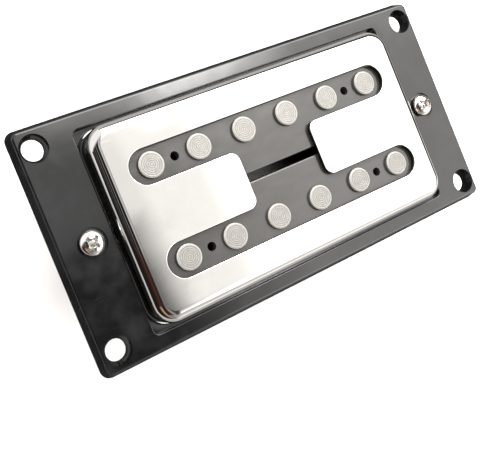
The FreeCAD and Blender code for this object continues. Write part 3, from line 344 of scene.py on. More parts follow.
def chrome_on_drawn_sheet(colour):
    """Chrome on deep-drawn, polished nickel silver: a hard mirror with a faint polishing haze and a
    slow wave left by the drawing, so that straight reflections bend a little."""
    material, tree, place = start_material(
        "nickel_silver_drawn_chromed", Base_Color=colour, Metallic=1.0, Roughness=0.05)
    wave = mottle(tree, place, 0.07, 1.0)
    haze = mottle(tree, place, 0.22, 3.0)
    # Polishing lines run along the cover, about 0.15 mm apart as drawn here; the real ones are finer.
    lines = mottle(tree, place, 1.4, 4.0, (0.12, 4.0, 4.0))
    # The upright walls of the opening's cut edges are painted dark: painted shade and a painted dark
    # reflection.
    sides = add(tree, "ShaderNodeTexCoord")
    facing = add(tree, "ShaderNodeSeparateXYZ", {"Vector": (sides, "Normal")})
    spans = add(tree, "ShaderNodeSeparateXYZ", {"Vector": place})
    marks = chain(tree, {"x": (spans, "X"), "y": (spans, "Y"), "up": (facing, "Z")}, [
        ("tone", "MIX", haze, colour, tinted(colour, 0.87, 0.86, 0.85)),
        ("hazed", "LINEAR", haze, 0.35, 0.75, 0.035, 0.075),
        ("lined", "LINEAR", lines, 0.5, 0.8, 0.0, 0.05),
        ("rough", "ADD", "hazed", "lined"),
        ("along", "ABSOLUTE", "x"),
        ("across", "ABSOLUTE", "y"),
        ("inside_x", "LESS_THAN", "along", CUT_OUT_HALF_LENGTH),
        ("inside_y", "LESS_THAN", "across", CUT_OUT_HALF_WIDTH),
        ("inside", "MULTIPLY", "inside_x", "inside_y"),
        ("upright", "LINEAR", "up", 0.9, 0.985, 1.0, 0.0),
        ("cut", "MULTIPLY", "inside", "upright")])
    return finish_surface(
        material, (marks["cut"], 0.0, 1.0, marks["tone"], PAINTED_DARK_EDGE), marks["rough"],
        (wave, 0.4, 0.08 * MM), (lines, 0.12, 0.002 * MM))


def satin_abs(colour):
    """ABS, moulded in a lightly textured tool: a dull, warm brown-black that greys towards the light,
    with fine even grain, cloudy patches and only a trace of flow along the bobbin."""
    material, tree, place = start_material(
        "abs_moulded_satin_brown_black", Base_Color=colour, Roughness=0.16, IOR=1.54)
    # Tool grain of about 0.12 mm, drawn 0.3 mm coarse so that it shows.
    grain = mottle(tree, place, 3.2, 3.0)
    flow = mottle(tree, place, 0.5, 4.0, (0.35, 0.8, 0.8), Distortion=0.3)
    dark, light = tinted(colour, 0.72, 0.7, 0.69), tinted(colour, 1.28, 1.27, 1.25)
    return finish_surface(
        material, (flow, 0.0, 1.0, dark, light), (flow, 0.3, 0.7, 0.13, 0.2), (grain, 0.3, 0.004 * MM))


def turned_plated_steel(colour, step):
    """Steel, turned and nickel plated: silver-white faces with concentric tool marks that hold a pale
    oxide film, and a painted highlight round the rim. The radius is measured from each slug's own axis."""
    material, tree, place = start_material(
        "steel_turned_nickel_plated", Base_Color=colour, Metallic=1.0, Roughness=0.42)
    parts = add(tree, "ShaderNodeSeparateXYZ", {"Vector": place})
    middle = chain(tree, {"x": (parts, "X"), "y": (parts, "Y")}, [
        ("pitches", "DIVIDE", "x", POLE_PITCH),
        ("share", "FRACT", "pitches"),
        ("middle", "SUBTRACT", "share", 0.5),
        ("along", "MULTIPLY", "middle", POLE_PITCH),
        ("aside", "ABSOLUTE", "y"),
        ("across", "SUBTRACT", "aside", ROW_Y)])
    flat = add(tree, "ShaderNodeCombineXYZ", {"X": middle["along"], "Y": middle["across"]})
    radius = add(tree, "ShaderNodeVectorMath", {0: (flat, "Vector")}, operation="LENGTH"), "Value"
    faces = add(tree, "ShaderNodeTexCoord")
    facing = add(tree, "ShaderNodeSeparateXYZ", {"Vector": (faces, "Normal")})
    # Real feed marks are about 0.1 mm apart; drawn coarser so that a few rings show. Crests are bare
    # plate; grooves and the dull side below the chamfer keep the film.
    dull, bright = tinted(colour, 0.5), tinted(colour, 1.8)
    marks = chain(tree, {"radius": radius, "speck": mottle(tree, place, 2.4, 4.0), "up": (facing, "Z")}, [
        ("turns", "MULTIPLY", "radius", FULL_TURN / (step / MM)),
        ("rings", "SINE", "turns"),
        ("swing", "MULTIPLY_ADD", "rings", 0.36, "speck"),
        ("marks", "LINEAR", "swing", 0.15, 0.85),
        ("crest", "LINEAR", "marks", 0.0, 1.0, 0.15, 0.7),
        # Painted highlight: a lighter band round the rim.
        ("rim", "SMOOTHSTEP", "radius", 2.12, 2.28),
        ("side", "LINEAR", "up", 0.2, 0.5, 1.0, 0.0),
        ("ringed", "MIX", "marks", dull, colour),
        ("rim_highlighted", "MIX", "rim", "ringed", bright)])
    bare = add(tree, "ShaderNodeMix", {0: marks["side"], 2: marks["crest"], 3: 0.15}, data_type="FLOAT")
    return finish_surface(
        material, (marks["side"], 0.0, 1.0, marks["rim_highlighted"], dull), (marks["marks"], 0.0, 1.0, 0.5, 0.36),
        (marks["rings"], 0.4, 0.012 * MM), Metallic=(bare, 0))


def bright_plated_steel(colour):
    """Steel screw, cold headed and nickel plated: bright and smooth, with a little grime where the
    driver and the thread cut the plate."""
    material, tree, place = start_material(
        "steel_headed_nickel_plated", Base_Color=colour, Metallic=1.0, Roughness=0.14)
    flecks = mottle(tree, place, 1.6, 4.0)
    return finish_surface(
        material, (flecks, 0.55, 0.8, colour, tinted(colour, 0.72, 0.7, 0.66)),
        (flecks, 0.35, 0.7, 0.09, 0.24), (flecks, 0.2, 0.008 * MM))


def drawn_spring_wire(colour):
    """Spring steel, hard drawn: grey and smooth, with darker die streaks and rubbed bright spots."""
    material, tree, place = start_material(
        "spring_steel_hard_drawn", Base_Color=colour, Metallic=1.0, Roughness=0.3)
    # Die streaks are some 0.05 mm wide; drawn 0.2 mm wide across the wire.
    streaks = mottle(tree, place, 1.0, 4.0, (0.5, 0.5, 5.0))
    dark, light = tinted(colour, 0.6, 0.6, 0.58), tinted(colour, 1.3)
    return finish_surface(
        material, (streaks, 0.0, 1.0, dark, light), (streaks, 0.3, 0.7, 0.24, 0.4),
        (streaks, 0.25, 0.01 * MM))


def enamelled_winding(colour, step):
    """Copper wire with plain enamel, scatter wound: fine horizontal lines of red-brown wire with a
    varnished shine, and painted shade that darkens the crevices between the turns."""
    material, tree, place = start_material(
        "copper_wound_enamelled", Base_Color=colour, Metallic=0.85, Roughness=0.34,
        Coat_Weight=0.5, Coat_Roughness=0.2)
    # The wire is 0.065 mm thick; its turns are drawn coarser so that they show.
    wander = mottle(tree, place, 0.25, 2.0)
    parts = add(tree, "ShaderNodeSeparateXYZ", {"Vector": place})
    wires = chain(tree, {}, [
        ("shifted", "MULTIPLY_ADD", wander, 0.5, (parts, "Z")),
        ("turns", "MULTIPLY", "shifted", FULL_TURN / (step / MM)),
        ("wires", "SINE", "turns")])["wires"]
    # Painted shade: the tone is darkest between the turns, where the relief is lowest.
    return finish_surface(
        material, (wires, -1.0, 1.0, tinted(colour, 0.35, 0.3, 0.28), colour),
        (wander, 0.0, 1.0, 0.26, 0.42), (wires, 0.6, 0.04 * MM))


def cloth_tape(colour, step):
    """Acetate cloth tape, woven and coated black: matt, with a fine square weave and worn high threads."""
    material, tree, place = start_material(
        "acetate_woven_black_tape", Base_Color=colour, Roughness=0.72, IOR=1.47)
    # The weave is about 0.15 mm; drawn coarser so that it shows.
    turned = add(tree, "ShaderNodeVectorMath", {0: place, 1: (1.0 / (step / MM),) * 3}, operation="MULTIPLY")
    weave = add(tree, "ShaderNodeTexChecker", {
        "Vector": (turned, "Vector"), "Scale": 1.0, "Color1": grey(1.0), "Color2": grey(0.0)})
    fluff = mottle(tree, place, 2.0, 3.0)
    threads = chain(tree, {}, [("threads", "MULTIPLY_ADD", (weave, "Fac"), 0.5, fluff)])["threads"]
    dark, light = tinted(colour, 0.5), tinted(colour, 1.6)
    return finish_surface(
        material, (threads, 0.0, 1.0, dark, light), (fluff, 0.0, 1.0, 0.62, 0.85),
        (threads, 0.5, 0.03 * MM))


def cast_magnet(colour):
    """Alnico, sand cast with ground faces: dull grey metal, pitted, with grinding lines along its faces."""
    material, tree, place = start_material(
        "alnico_cast_ground", Base_Color=colour, Metallic=1.0, Roughness=0.45)
    pits = add(tree, "ShaderNodeTexVoronoi", {"Vector": place, "Scale": 1.3})
    lines = mottle(tree, place, 1.5, 3.0, (0.15, 3.0, 3.0))
    marks = chain(tree, {}, [
        ("pitted", "LINEAR", (pits, "Distance"), 0.05, 0.25),
        ("relief", "MULTIPLY_ADD", lines, 0.4, "pitted")])
    return finish_surface(
        material, (marks["pitted"], 0.0, 1.0, tinted(colour, 0.4, 0.38, 0.36), colour),
        (lines, 0.0, 1.0, 0.35, 0.6), (marks["relief"], 0.5, 0.04 * MM))


def planed_maple(colour):
    """Maple, planed: pale, with straight grain along the strip, tight growth lines and short pores."""
    material, tree, place = start_material("maple_planed_bare", Base_Color=colour, Roughness=0.6, IOR=1.5)
    # Growth lines about 1.2 mm apart, pores 0.1 mm wide drawn 0.25 mm wide.
    drawn = add(tree, "ShaderNodeMapping", {"Vector": place, "Scale": (0.06, 1.0, 1.0)})
    grain = add(tree, "ShaderNodeTexWave", {
        "Vector": (drawn, "Vector"), "Scale": 0.26, "Distortion": 3.0, "Detail": 3.0, "Detail Scale": 0.8},
        wave_type="BANDS", bands_direction="Y")
    pores = mottle(tree, place, 1.0, 2.0, (0.4, 4.0, 4.0))
    return finish_surface(
        material, ((grain, "Fac"), 0.0, 1.0, tinted(colour, 0.72, 0.66, 0.58), colour),
        (pores, 0.0, 1.0, 0.5, 0.75), (pores, 0.3, 0.03 * MM))


def rolled_nickel_silver(colour):
    """Nickel silver sheet, rolled and bare: warm grey satin with rolling lines along the plate and a
    brown tarnish that gathers in patches."""
    material, tree, place = start_material(
        "nickel_silver_rolled", Base_Color=colour, Metallic=1.0, Roughness=0.36)
    # Rolling lines about 0.05 mm apart, drawn 0.25 mm apart.
    lines = mottle(tree, place, 1.0, 4.0, (0.05, 4.0, 4.0))
    patches = mottle(tree, place, 0.16, 5.0, Roughness=0.6)
    return finish_surface(
        material, (patches, 0.48, 0.72, colour, tinted(colour, 0.62, 0.55, 0.46)),
        (lines, 0.3, 0.7, 0.28, 0.46), (lines, 0.3, 0.01 * MM))


def plain_brass(colour):
    """Brass, turned and left bare: yellow, fairly bright, with darker spots where it has tarnished."""
    material, tree, place = start_material(
        "brass_turned_bare", Base_Color=colour, Metallic=1.0, Roughness=0.26)
    spots = mottle(tree, place, 1.1, 5.0)
    tone = chain(tree, {}, [
        ("tarnish", "LINEAR", spots, 0.5, 0.75),
        ("tone", "MIX", "tarnish", colour, tinted(colour, 0.5, 0.42, 0.3))])["tone"]
    # Painted shade: the screws go nearly black towards their tips, which sit deep in the bobbins' holes.
    heights = add(tree, "ShaderNodeSeparateXYZ", {"Vector": place})
    return finish_surface(
        material, ((heights, "Z"), -6.0, -2.0, tone, PAINTED_HOLE_SHADE),
        (spots, 0.0, 1.0, 0.18, 0.42), (spots, 0.2, 0.01 * MM))


def soft_solder(colour):
    """Tin-lead solder, flowed and cooled: silvery with a frosty grain and a yellow trace of flux."""
    material, tree, place = start_material(
        "solder_flowed_tin_lead", Base_Color=colour, Metallic=1.0, Roughness=0.26)
    frost = mottle(tree, place, 1.8, 4.0)
    return finish_surface(
        material, (frost, 0.55, 0.75, colour, tinted(colour, 0.75, 0.62, 0.38)),
        (frost, 0.0, 1.0, 0.16, 0.42), (frost, 0.3, 0.03 * MM))


def studio_paper(colour):
    """Paper, matt and white: an even floor with the faintest fibre."""
    material, tree, place = start_material("paper_matt_white", Base_Color=colour, Roughness=0.9, IOR=1.45)
    fibre = mottle(tree, place, 0.8, 4.0)
    return finish_surface(material, (fibre, 0.0, 1.0, tinted(colour, 0.97), colour), None)


def link_mesh(bm, name, material):
    """Turn a bmesh into a smooth mesh object in the scene, with its material."""
    mesh = bpy.data.meshes.new(name)
    bm.normal_update()
    bm.to_mesh(mesh)
    bm.free()
    mesh.materials.append(material)
    item = bpy.data.objects.new(name, mesh)
    bpy.context.scene.collection.objects.link(item)
    for polygon in mesh.polygons:
        polygon.use_smooth = True
    mesh.set_sharp_from_angle(angle=SHARP_ANGLE)
    return item


def skin(bm, rings):
    """Faces between neighbouring closed rings of as many vertices each."""
    for lower, upper in zip(rings, rings[1:]):
        for step in range(len(lower)):
            after = (step + 1) % len(lower)
            bm.faces.new((lower[step], lower[after], upper[after], upper[step]))


def add_band(bm, outlines):
    """Skin between closed outlines of as many points each, and from the last back to the first."""
    rings = [[bm.verts.new(point) for point in outline] for outline in outlines]
    skin(bm, rings + rings[:1])


def rounded_outline(length, width, corner, height):
    """Points of a rectangle with rounded corners, anticlockwise, at a height."""
    points = []
    steps = 12
    for quarter, (side_x, side_y) in enumerate(((1, 1), (-1, 1), (-1, -1), (1, -1))):
        for step in range(steps + 1):
            angle = math.pi / 2 * (quarter + step / steps)
            points.append((side_x * (length / 2 - corner) + corner * math.cos(angle),
                           side_y * (width / 2 - corner) + corner * math.sin(angle), height))
    return points


def round_the_row(span, radius, share):
    """Point on the middle line of a row of poles and the direction outward from it, at a share of the
    way round the row, from the middle of its front side anticlockwise."""
    arc = math.pi * radius
    way = share * (2 * span + 2 * arc)
    if way < span / 2:
        return way, 0.0, -1.0
    way -= span / 2
    if way < arc:
        return span / 2, math.sin(way / radius), -math.cos(way / radius)
    way -= arc
    if way < span:
        return span / 2 - way, 0.0, 1.0
    way -= span
    if way < arc:
        return -span / 2, -math.sin(way / radius), math.cos(way / radius)
    return way - arc - span / 2, 0.0, -1.0


def link_sleeve(name, material, row, inner, profile, shares):
    """Round-ended sleeve about a row of poles. The profile gives height, outer radius and how far the
    radius grows on one way round; the seam is on the side away from the other row."""
    span = (POLES_IN_ROW - 1) * POLE_PITCH * MM
    side = 1.0 if row < 0 else -1.0
    inside = [(height, inner, 0.0) for height in (profile[-1][0], profile[0][0])]
    outlines = []
    for height, radius, growth in profile + inside:
        outline = []
        for share in shares:
            middle, out_x, out_y = round_the_row(span, radius, share)
            reach = radius + growth * share
            outline.append((middle + out_x * reach, row + side * out_y * reach, height))
        outlines.append(outline)
    bm = bmesh.new()
    add_band(bm, outlines)
    bmesh.ops.recalc_face_normals(bm, faces=bm.faces)
    return link_mesh(bm, name, material)


def smooth_step(low, high, number):
    """Rises smoothly from 0 at low to 1 at high."""
    share = min(max((number - low) / (high - low), 0.0), 1.0)
    return share * share * (3.0 - 2.0 * share)


def dome_height(sizes, radius):
    """Height of the head's pan-shaped top above its seat at a distance from the axis."""
    share = min(radius / (sizes.head_diameter / 2), 1.0)
    rise = sizes.head_height - sizes.head_side
    return sizes.head_side + rise * (1.0 - share ** 2.7) ** (1 / 2.2)


def recess_depth(sizes, along, across):
    """Depth of the cross recess at a point of the head: four tapering wings that meet in a cone."""
    wing_fall, cone_fall, cone_share = 1.35, 1.1, 0.27
    radius = math.hypot(along, across)
    floor = min(sizes.recess_depth, max(0.0, sizes.recess_length / 2 - radius) * wing_fall)
    half = sizes.recess_width / 2
    soft = 0.03 * MM
    wing = max(smooth_step(half + soft, half - soft, abs(way)) for way in (across, along))
    cone = sizes.recess_depth * max(0.0, 1.0 - radius / (cone_share * sizes.recess_length)) * cone_fall
    return max(wing * floor, min(cone, sizes.recess_depth))


def add_head(bm, sizes):
    """Domed pan head with its cross recess, standing on height zero."""
    segments, recess_rings, dome_rings = 192, 40, 18
    outer = sizes.head_diameter / 2
    reach = 0.56 * sizes.recess_length
    angles = [FULL_TURN * step / segments for step in range(segments)]

    def height_at(radius, angle):
        turned = angle - sizes.recess_turn
        depth = recess_depth(sizes, radius * math.cos(turned), radius * math.sin(turned))
        return dome_height(sizes, radius) - depth

    middle = bm.verts.new((0.0, 0.0, height_at(0.0, 0.0)))
    radii = [reach * (step + 1) / recess_rings for step in range(recess_rings)]
    radii += [reach + (outer - reach) * math.sin(math.pi / 2 * (step + 1) / dome_rings)
              for step in range(dome_rings)]
    rows = [(radius, [height_at(radius, angle) for angle in angles]) for radius in radii]
    # Upright side, a small rounding at its foot and the seat, as shares of radius and of side height.
    for share, height in ((1.0, 0.5), (1.0, 0.08), (0.97, 0.0), (0.45, 0.0)):
        rows.append((outer * share, [sizes.head_side * height] * segments))
    rings = [[bm.verts.new((radius * math.cos(angle), radius * math.sin(angle), height))
              for angle, height in zip(angles, heights)] for radius, heights in rows]
    for step in range(segments):
        bm.faces.new((middle, rings[0][step], rings[0][(step + 1) % segments]))
    skin(bm, rings)


def add_thread(bm, sizes):
    """Threaded shank below the head: a helical grid with sharp crests, run out at both ends."""
    segments = 28
    pitch = sizes.thread_pitch
    crest = sizes.shank_diameter / 2
    root = crest - 0.6 * pitch
    # One turn's section, as shares of the pitch; then the plain neck, its size and the tip's chamfer.
    profile = ((0.0, root), (0.38, crest), (0.5, crest), (0.88, root))
    neck, neck_radius, chamfer = 0.8 * MM, root + 0.06 * MM, 0.4 * MM
    turns = int(sizes.screw_length / pitch) + 2
    columns = []
    for step in range(segments):
        angle = -FULL_TURN * step / segments
        column = []
        for turn in range(turns):
            for share, radius in profile:
                height = pitch * (1.0 - turn - share - step / segments)
                height = min(0.0, max(height, -sizes.screw_length))
                radius = min(radius, crest - chamfer + height + sizes.screw_length)
                into_thread = smooth_step(-neck, -neck - pitch, height)
                radius += (neck_radius - radius) * (1.0 - into_thread)
                column.append(bm.verts.new((radius * math.cos(angle), radius * math.sin(angle), height)))
        columns.append(column)
    for step in range(segments):
        after = (step + 1) % segments
        first, second = columns[step], columns[after]
        # Where the columns close the circle, the thread has risen by one turn.
        shift = len(profile) if after == 0 else 0
        for row in range(len(first) - 1 - shift):
            bm.faces.new((first[row + shift], second[row], second[row + 1], first[row + 1 + shift]))
    bm.faces.new([column[-1] for column in columns])
    bmesh.ops.remove_doubles(bm, verts=bm.verts, dist=1e-7)


def add_spring(bm, sizes, low, high):
    """Wire on a right-handed helix between two heights, with closer coils at both ends."""
    around, steps = 12, 40
    wire, radius, turns = sizes.spring_wire / 2, sizes.spring_diameter / 2, sizes.spring_turns
    closed = sizes.spring_end_pitch
    opened = (high - low - 2 * wire - 2 * closed) / (turns - 2)
    level = low + wire
    rings = []
    for step in range(turns * steps + 1):
        turn = (step + 0.5) / steps
        pitch = closed + (opened - closed) * smooth_step(0.7, 1.3, min(turn, turns - turn))
        slope = pitch / (FULL_TURN * radius)
        lean = math.hypot(1.0, slope)
        east, north = math.cos(FULL_TURN * step / steps), math.sin(FULL_TURN * step / steps)
        ring = []
        for part in range(around):
            out = radius + wire * math.cos(FULL_TURN * part / around)
            rise = wire * math.sin(FULL_TURN * part / around) / lean
            ring.append(bm.verts.new((out * east + rise * slope * north, out * north - rise * slope * east,
                                      level + rise)))
        rings.append(ring)
        level += pitch / steps
    skin(bm, rings)
    bm.faces.new(rings[0])
    bm.faces.new(rings[-1])


class PICKUP_OT_mounting_ring(bpy.types.Operator):
    """Give the mounting ring its glossy moulded black and build the step inside its opening"""

    bl_idname = "pickup.mounting_ring"
    bl_label = "Mounting Ring"

    def execute(self, context):
        sizes = context.scene.pickup_sizes
        plastic = moulded_abs(context.scene.pickup_colours.ring)
        dress(["mounting_ring"], plastic)
        foot = RING_BOTTOM_Z + 0.1 * MM
        top = RING_TOP_Z - sizes.step_drop
        soft = 0.1 * MM
        inner_length = COVER_LENGTH + 2 * sizes.step_gap
        inner_width = COVER_WIDTH + 2 * sizes.step_gap
        inner_corner = sizes.cover_corner + sizes.step_gap
        outlines = [rounded_outline(OPENING_LENGTH, OPENING_WIDTH, sizes.opening_corner, height)
                    for height in (top, foot)]
        outlines.append(rounded_outline(inner_length, inner_width, inner_corner, foot))
        for step in range(5):
            turn = math.pi / 2 * step / 4
            spread = 2 * soft * (1.0 - math.cos(turn))
            outlines.append(rounded_outline(inner_length + spread, inner_width + spread,
                                            inner_corner + spread / 2, top - soft + soft * math.sin(turn)))
        bm = bmesh.new()
        add_band(bm, outlines)
        bmesh.ops.recalc_face_normals(bm, faces=bm.faces)
        step_piece = link_mesh(bm, "ring_opening_step", plastic)
        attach(step_piece, "ring")
        return {"FINISHED"}


class PICKUP_OT_cover(bpy.types.Operator):
    """Give the drawn cover its chrome plate"""

    bl_idname = "pickup.cover"
    bl_label = "Cover"

    def execute(self, context):
        dress(["cover"], chrome_on_drawn_sheet(context.scene.pickup_colours.cover))
        return {"FINISHED"}


class PICKUP_OT_bobbins(bpy.types.Operator):
    """Give both bobbins their satin moulded finish"""

    bl_idname = "pickup.bobbins"
    bl_label = "Bobbins"

    def execute(self, context):
        dress(["bobbin_front", "bobbin_back"], satin_abs(context.scene.pickup_colours.bobbin))
        return {"FINISHED"}


class PICKUP_OT_poles(bpy.types.Operator):
    """Give the twelve pole slugs their turned and plated faces"""

    bl_idname = "pickup.poles"
    bl_label = "Pole Slugs"

    def execute(self, context):
        steel = turned_plated_steel(context.scene.pickup_colours.pole, context.scene.pickup_sizes.turning_step)
        names = ["pole_%s_%d" % (row, order + 1) for row, _ in FRONT_AND_BACK for order in range(POLES_IN_ROW)]
        dress(names, steel)
        return {"FINISHED"}


class PICKUP_OT_height_screws(bpy.types.Operator):
    """Build both height screws with domed head, cross recess and cut thread"""

    bl_idname = "pickup.height_screws"
    bl_label = "Height Screws"

    def execute(self, context):
        sizes = context.scene.pickup_sizes
        steel = bright_plated_steel(context.scene.pickup_colours.screw)
        for side, sign in LEFT_AND_RIGHT:
            bm = bmesh.new()
            add_thread(bm, sizes)
            add_head(bm, sizes)
            bmesh.ops.translate(bm, verts=bm.verts, vec=Vector((sign * SCREW_X, 0.0, SEAT_Z)))
            bmesh.ops.recalc_face_normals(bm, faces=bm.faces)
            screw = link_mesh(bm, "cross_recess_screw_" + side, steel)
            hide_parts("height_screw_" + side)
            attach(screw, "screw_" + side)
        return {"FINISHED"}


class PICKUP_OT_springs(bpy.types.Operator):
    """Coil both compression springs between the ring and the feet"""

    bl_idname = "pickup.springs"
    bl_label = "Springs"

    def execute(self, context):
        sizes = context.scene.pickup_sizes
        wire = drawn_spring_wire(context.scene.pickup_colours.spring)
        for side, sign in LEFT_AND_RIGHT:
            low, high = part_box("spring_" + side)
            bm = bmesh.new()
            add_spring(bm, sizes, low[2], high[2])
            bmesh.ops.translate(bm, verts=bm.verts, vec=Vector((sign * SCREW_X, 0.0, 0.0)))
            bmesh.ops.recalc_face_normals(bm, faces=bm.faces)
            spring = link_mesh(bm, "coiled_spring_" + side, wire)
            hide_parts("spring_" + side)
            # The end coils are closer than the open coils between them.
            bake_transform(spring)
        return {"FINISHED"}


class PICKUP_OT_windings(bpy.types.Operator):
    """Build both windings with their bands of turns, and the tape wraps with their lapped ends"""

    bl_idname = "pickup.windings"
    bl_label = "Windings and Tape"

    def execute(self, context):
        colours = context.scene.pickup_colours
        sizes = context.scene.pickup_sizes
        copper = enamelled_winding(colours.copper, sizes.wire_step)
        tape = cloth_tape(colours.tape, sizes.weave_step)
        # A winding's thickness and relief, then the tape's soft edges and its gap to the winding.
        build, crest, groove = 3.7 * MM, 0.03 * MM, 0.05 * MM
        soft, tape_gap = 0.05 * MM, 0.05 * MM
        for end, _ in FRONT_AND_BACK:
            low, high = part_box("coil_" + end)
            row = (low[1] + high[1]) / 2
            radius = (high[1] - low[1]) / 2
            count = round((high[2] - low[2]) / sizes.ridge_step)
            profile = []
            for ridge in range(count):
                for share, rise in ((0.02, -groove), (0.3, crest), (0.7, crest), (0.98, -groove)):
                    height = low[2] + (high[2] - low[2]) * (ridge + share) / count
                    profile.append((height, radius + rise, 0.0))
            winding = link_sleeve("scatter_winding_" + end, copper, row, radius - build, profile,
                                  [step / 96 for step in range(96)])
            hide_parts("coil_" + end)
            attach(winding, "pickup")

            low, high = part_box("coil_tape_" + end)
            outer = (high[1] - low[1]) / 2
            lap = sizes.tape_lap
            profile = [(low[2], outer - soft, lap), (low[2] + soft, outer, lap),
                       (high[2] - soft, outer, lap), (high[2], outer - soft, lap)]
            # The last point lies just before the first, so that the lapped end stands up as a step.
            wrap = link_sleeve("lapped_tape_" + end, tape, row, radius + tape_gap, profile,
                               [step / 120 for step in range(120)] + [0.9995])
            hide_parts("coil_tape_" + end)
            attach(wrap, "pickup")
        return {"FINISHED"}


class PICKUP_OT_magnet_and_spacers(bpy.types.Operator):
    """Give the bar magnet and the spacer strips their finishes"""

    bl_idname = "pickup.magnet_and_spacers"
    bl_label = "Magnet and Spacers"

    def execute(self, context):
        colours = context.scene.pickup_colours
        dress(["bar_magnet"], cast_magnet(colours.magnet))
        dress(["spacer_front", "spacer_back"], planed_maple(colours.maple))
        return {"FINISHED"}


class PICKUP_OT_baseplate(bpy.types.Operator):
    """Give the baseplate and the bobbin screws below it their bare metal"""

    bl_idname = "pickup.baseplate"
    bl_label = "Baseplate and Bobbin Screws"

    def execute(self, context):
        colours = context.scene.pickup_colours
        dress(["baseplate"], rolled_nickel_silver(colours.plate))
        dress(["bobbin_screws"], plain_brass(colours.brass))
        return {"FINISHED"}


class PICKUP_OT_solder_beads(bpy.types.Operator):
    """Build the two flowed solder beads between cover and baseplate"""

    bl_idname = "pickup.solder_beads"
    bl_label = "Solder Beads"

    def execute(self, context):
        low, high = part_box("solder_beads")
        solder = soft_solder(context.scene.pickup_colours.solder)
        half_length = (high[0] - low[0]) / 2
        height = high[2] - low[2]
        width = 2.4 * MM
        for side, sign in FRONT_AND_BACK:
            middle = sign * (high[1] - width / 2)
            bm = bmesh.new()
            bmesh.ops.create_icosphere(bm, subdivisions=5, radius=1.0)
            for vert in bm.verts:
                # Two sizes of swelling, then a thin skirt where the solder wetted the sheet.
                spot = vert.co.copy()
                swell = 1.0 + 0.16 * noise.noise(spot * 1.3 + Vector((sign * 5.0, 2.0, 7.0)))
                swell += 0.05 * noise.noise(spot * 3.1 + Vector((1.0, sign * 9.0, 3.0)))
                spot *= swell * 0.84
                skirt = 1.0 + 0.18 * (1.0 - abs(spot.z)) ** 4
                vert.co = (spot.x * skirt * half_length, middle + spot.y * skirt * width / 2,
                           high[2] + min(spot.z, 0.0) * height)
            bead = link_mesh(bm, "flowed_bead_" + side, solder)
            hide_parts("solder_beads")
            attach(bead, "pickup")
        return {"FINISHED"}


